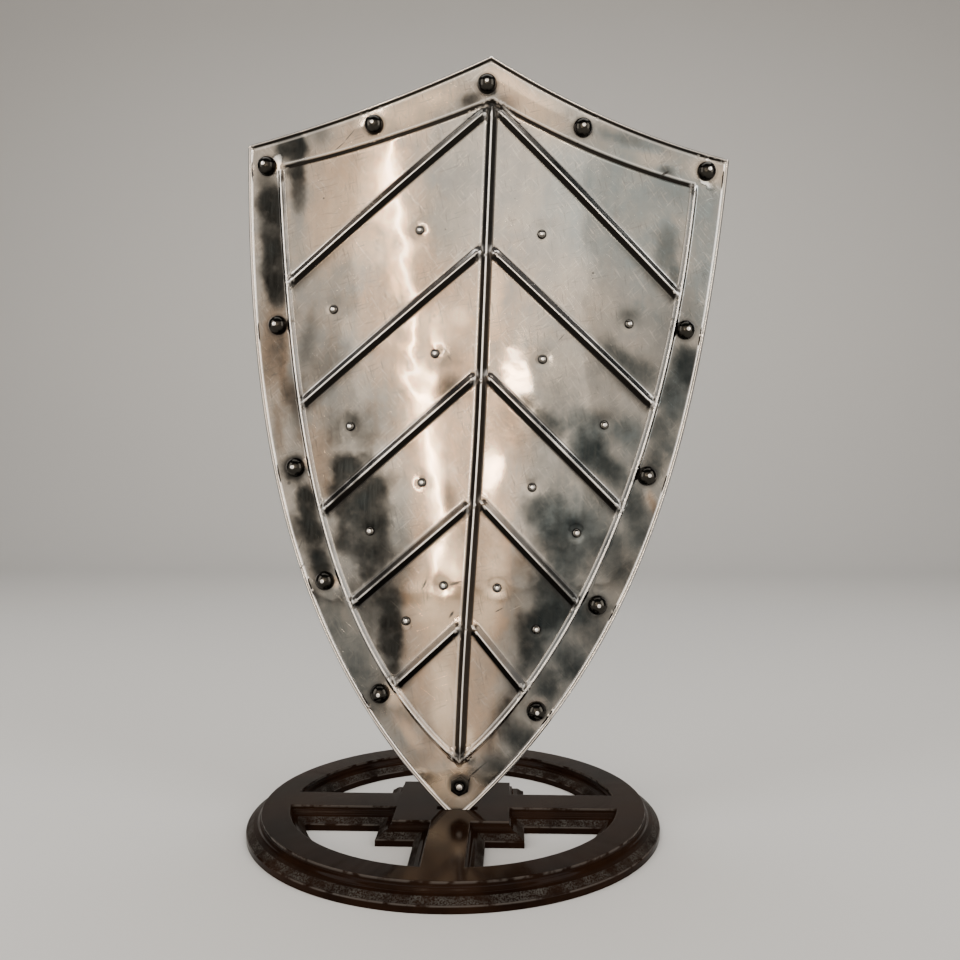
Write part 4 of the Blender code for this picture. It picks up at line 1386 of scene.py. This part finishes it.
def shield_steel(groups):
    """Polished and hammered sheet steel, with patina and painted shade beside its ribs, painted highlights
    along its crests, and stains with painted reflections over it.
    """
    made, nodes = new_finish("hammered_steel", groups)
    place = nodes.read("flat", 1)
    patina_and_shade, crest, stain_and_reflection, warmed = [nodes.read(name) for name in ("patina_and_shade", "crest", "dark", "warm")]

    def cloud(size, contrast, upright=1.0):
        return nodes.use("smudges", Vector=place, Size=size, Contrast=contrast, Stretch=(upright, 1.0, 1.0))

    def scratches(turn, spacing, length, amount):
        return nodes.use("scratches", Vector=place, Turn=turn, Spacing=spacing, Length=length, Amount=amount)

    broad, middling, small = cloud(0.060, 0.40), cloud(0.022, 0.45), cloud(0.007, 0.55)
    streak, brushed = cloud(0.045, 0.40, upright=4.0), cloud(0.030, 0.50, upright=9.0)
    shares = ((middling, 0.34), (small, 0.12), (brushed, 0.16))
    ragged = nodes.total(0.0, *[(nodes.minus(value, 0.5), share) for value, share in shares])
    uneven = nodes.total(1.0, (ragged, 1.1))
    # Where the stains and painted reflections are dark, and where they are light: painted highlights.
    dark = nodes.times(stain_and_reflection, uneven, clamp=True)
    light = nodes.times(nodes.times(stain_and_reflection, -1.0), uneven, clamp=True)
    warm = nodes.spread(nodes.plus(warmed, ragged), -0.2, 0.8)
    cool = nodes.spread(nodes.minus(ragged, warmed), 0.1, 0.9)
    kept = nodes.maths("POWER", nodes.minus(1.0, dark), 1.7)

    tone = nodes.mix(broad, colour(*SHEET_WARM), colour(*SHEET_COOL))
    tone = nodes.layers(
        tone,
        (warm, 0.92, BRONZED),
        (cool, 0.85, BLUED),
        (middling, 0.35, (0.50, 0.44, 0.37)),
        (streak, 0.30, (0.19, 0.185, 0.17)),
        (small, 0.14, (0.165, 0.155, 0.14)),
        # Painted highlight where the painted reflections are light.
        (light, 1.0, (1.0, 0.76, 0.53)),
    )
    for turn, shade, share in STROKES:
        stroke = nodes.times(scratches(turn, 0.0022, 0.022, 0.9), middling)
        tone = nodes.layers(tone, (stroke, share, shade))
    # Dark stains and painted dark reflections.
    dark_stain_and_reflection = nodes.mix(cool, colour(0.010, 0.0098, 0.0088), colour(0.013, 0.019, 0.021))
    dark_stain_and_reflection = nodes.layers(dark_stain_and_reflection, (brushed, 0.25, (0.10, 0.10, 0.092)))
    tone = nodes.mix(kept, dark_stain_and_reflection, tone)
    # Painted shade round each head.
    head_shade_rings = nodes.plus(nodes.times(nodes.read("rivet_shade_ring"), 0.8), nodes.times(nodes.read("stud_shade_ring"), 0.95),
                       clamp=True)
    rolled_edge = nodes.times(nodes.read("rim"), nodes.minus(1.0, patina_and_shade))
    # Painted shade round the heads; patina with painted shade; painted highlights on the crests and on the
    # rolled edge's beads.
    tone = nodes.layers(
        tone,
        (head_shade_rings, 1.0, PIT_AND_SHADE_DARK),
        (patina_and_shade, 1.0, PATINA_AND_SHADE),
        (crest, 0.95, CREST_HIGHLIGHT),
        (rolled_edge, 0.90, (0.97, 0.90, 0.83)),
    )
    front = nodes.read("front")
    for nick in NICKS:
        mask = nodes.times(nick_mask(nodes, place, nick), nodes.plus(small, 0.4), clamp=True)
        tone = nodes.layers(tone, (mask, front, (0.020, 0.018, 0.016)))
    tone = nodes.layers(tone, (nodes.use("pits", Vector=place, Spacing=0.035, Radius=0.03), 0.8, PIT_AND_SHADE_DARK))

    marks = nodes.maths("MAXIMUM", scratches(0.7, 0.0006, 0.03, 0.6), scratches(-0.4, 0.0009, 0.05, 0.3))
    near_tip = nodes.spread(nodes.vector_maths("LENGTH", place, output=1), 0.050, 0.015)
    rough = nodes.total(0.09, (middling, 0.05), (marks, 0.08), (patina_and_shade, 0.20), (crest, 0.16),
                        (rolled_edge, 0.10), (near_tip, 0.26))
    dull = nodes.maths("MAXIMUM", patina_and_shade, nodes.minus(0.95, kept))
    height = nodes.minus(nodes.times(nodes.noise(place, 260.0, 3.0), 0.35), nodes.times(marks, 0.5))
    bump = nodes.put("ShaderNodeBump", named={"Strength": 0.2, "Distance": 0.0003, "Height": height})
    nodes.finish(Base_Color=tone, Roughness=rough, Metallic=1.0, Normal=bump,
                 Coat_Weight=nodes.minus(1.0, dull, clamp=True), Coat_Roughness=0.05, Coat_IOR=1.75)
    return made


def dome_steel(groups, name, side, highlight_from):
    """Round heads, with painted shade at the foot and a painted highlight on top from a share of their height
    on.
    """
    made, nodes = new_finish(name, groups)
    # Painted shade for the foot of each head.
    foot = (0.008, 0.007, 0.006)
    cloud = nodes.use("smudges", Vector=nodes.here(), Size=0.005, Contrast=0.6)
    level = nodes.read("height")
    tone = nodes.mix(nodes.spread(level, 0.35, 0.75), colour(*foot), colour(*side))
    tone = nodes.layers(tone, (cloud, 0.4, foot),
                        (nodes.spread(level, highlight_from, 0.5 + 0.5 * highlight_from), 1.0, WEAR_AND_HIGHLIGHT))
    nodes.finish(Base_Color=tone, Roughness=nodes.total(0.12, (cloud, 0.08)), Metallic=1.0)
    return made


def worn_steel(groups):
    """The bolt's end, worn bright."""
    made, nodes = new_finish("worn_steel", groups)
    cloud = nodes.use("smudges", Vector=nodes.here(), Size=0.002, Contrast=0.5)
    tone = nodes.mix(cloud, colour(0.45, 0.42, 0.38), colour(*WEAR_AND_HIGHLIGHT))
    nodes.finish(Base_Color=tone, Roughness=0.35, Metallic=1.0)
    return made


def black_steel(groups):
    """The nut and the rest of the bolt, oiled and blackened."""
    made, nodes = new_finish("oiled_black_steel", groups)
    cloud = nodes.use("smudges", Vector=nodes.here(), Size=0.004, Contrast=0.6)
    tone = nodes.mix(cloud, colour(0.010, 0.009, 0.008), colour(0.030, 0.028, 0.024))
    nodes.finish(Base_Color=tone, Roughness=nodes.total(0.28, (cloud, 0.15)), Metallic=1.0)
    return made


def black_lacquer(groups):
    """Brown-black lacquer, with torn grain on the ledge, and its edges lighter here and there: partly wear,
    partly painted glints.
    """
    made, nodes = new_finish("black_lacquer", groups)
    place, out = nodes.here(), nodes.read("stand_out")
    height = nodes.put("ShaderNodeSeparateXYZ", place).node.outputs[2]

    def between(value, rise, fall):
        """One between two slopes, each given by where it starts and ends."""
        return nodes.times(nodes.spread(value, *rise), nodes.spread(value, *fall))

    flecks, patches, cloud = [nodes.use("smudges", Vector=place, Size=size, Contrast=contrast)
                              for size, contrast in ((0.0013, 0.22), (0.012, 0.4), (0.05, 0.5))]
    ledge = between(out, (0.0060, 0.0072), (0.0124, 0.0114))
    top_edge = between(out, (-0.0007, 0.0), (0.0010, 0.0004))
    top_edge = nodes.times(top_edge, nodes.spread(height, 0.0155, 0.0172))
    low_edge = nodes.times(nodes.spread(out, 0.0119, 0.0124), nodes.spread(height, 0.0045, 0.0056))
    # Lighter edges: partly worn lacquer, partly painted glints.
    edge_wear_and_glint = nodes.times(nodes.maths("MAXIMUM", top_edge, low_edge), nodes.spread(patches, 0.10, 0.60))
    tone = nodes.mix(cloud, colour(0.005, 0.0021, 0.0010), colour(0.017, 0.0075, 0.0037))
    tone = nodes.layers(tone, (nodes.times(flecks, patches), ledge, (0.060, 0.056, 0.050)),
                        (edge_wear_and_glint, 0.22, (0.26, 0.24, 0.22)))
    nodes.finish(Base_Color=tone, Roughness=nodes.total(0.09, (ledge, 0.32), (cloud, 0.05)), IOR=1.11)
    return made


# --- the pieces together ---


def finish_piece(piece, slot, nodes, *metals):
    """Gives a piece its materials, hides the nodes that it stands for and hangs it on the root body; the slot
    is not used.
    """
    for metal in metals:
        piece.data.materials.append(metal)
    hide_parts(*nodes)
    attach(piece, "root")


def build():
    groups = {"smudges": cloud_group(), "scratches": scratch_group(), "pits": pit_group()}
    finish_piece(add_piece("shield", plate_mesh()), "shield_steel", ["shield_plate"], shield_steel(groups))
    # The heads' tops carry a painted highlight from the last number's share of their height on.
    rivet_steel = dome_steel(groups, "rivet_steel", (0.040, 0.037, 0.032), 0.975)
    stud_steel = dome_steel(groups, "stud_steel", (0.17, 0.155, 0.135), 0.90)
    tree = rivet_tree()
    for name, prefix, sizes, metal, seed in (("border_rivets", "border_rivet", RIVET, rivet_steel, 3),
                                             ("field_studs", "field_stud", STUD, stud_steel, 8)):
        heads = riveted(name, tree, fastener_places(prefix), sizes, metal, seed)
        finish_piece(heads, "polished_steel", [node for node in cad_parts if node.startswith(prefix)])
    blackened, worn = black_steel(groups), worn_steel(groups)
    finish_piece(add_piece("nut", nut_mesh()), "blackened_steel", ["tip_nut"], blackened)
    finish_piece(add_piece("bolt", bolt_mesh()), "polished_steel", ["tip_bolt"], blackened, worn)
    finish_piece(add_piece("stand", stand_mesh()), "black_lacquer", ["stand_base"], black_lacquer(groups))


add_camera()
add_lights()
add_stage()
build()
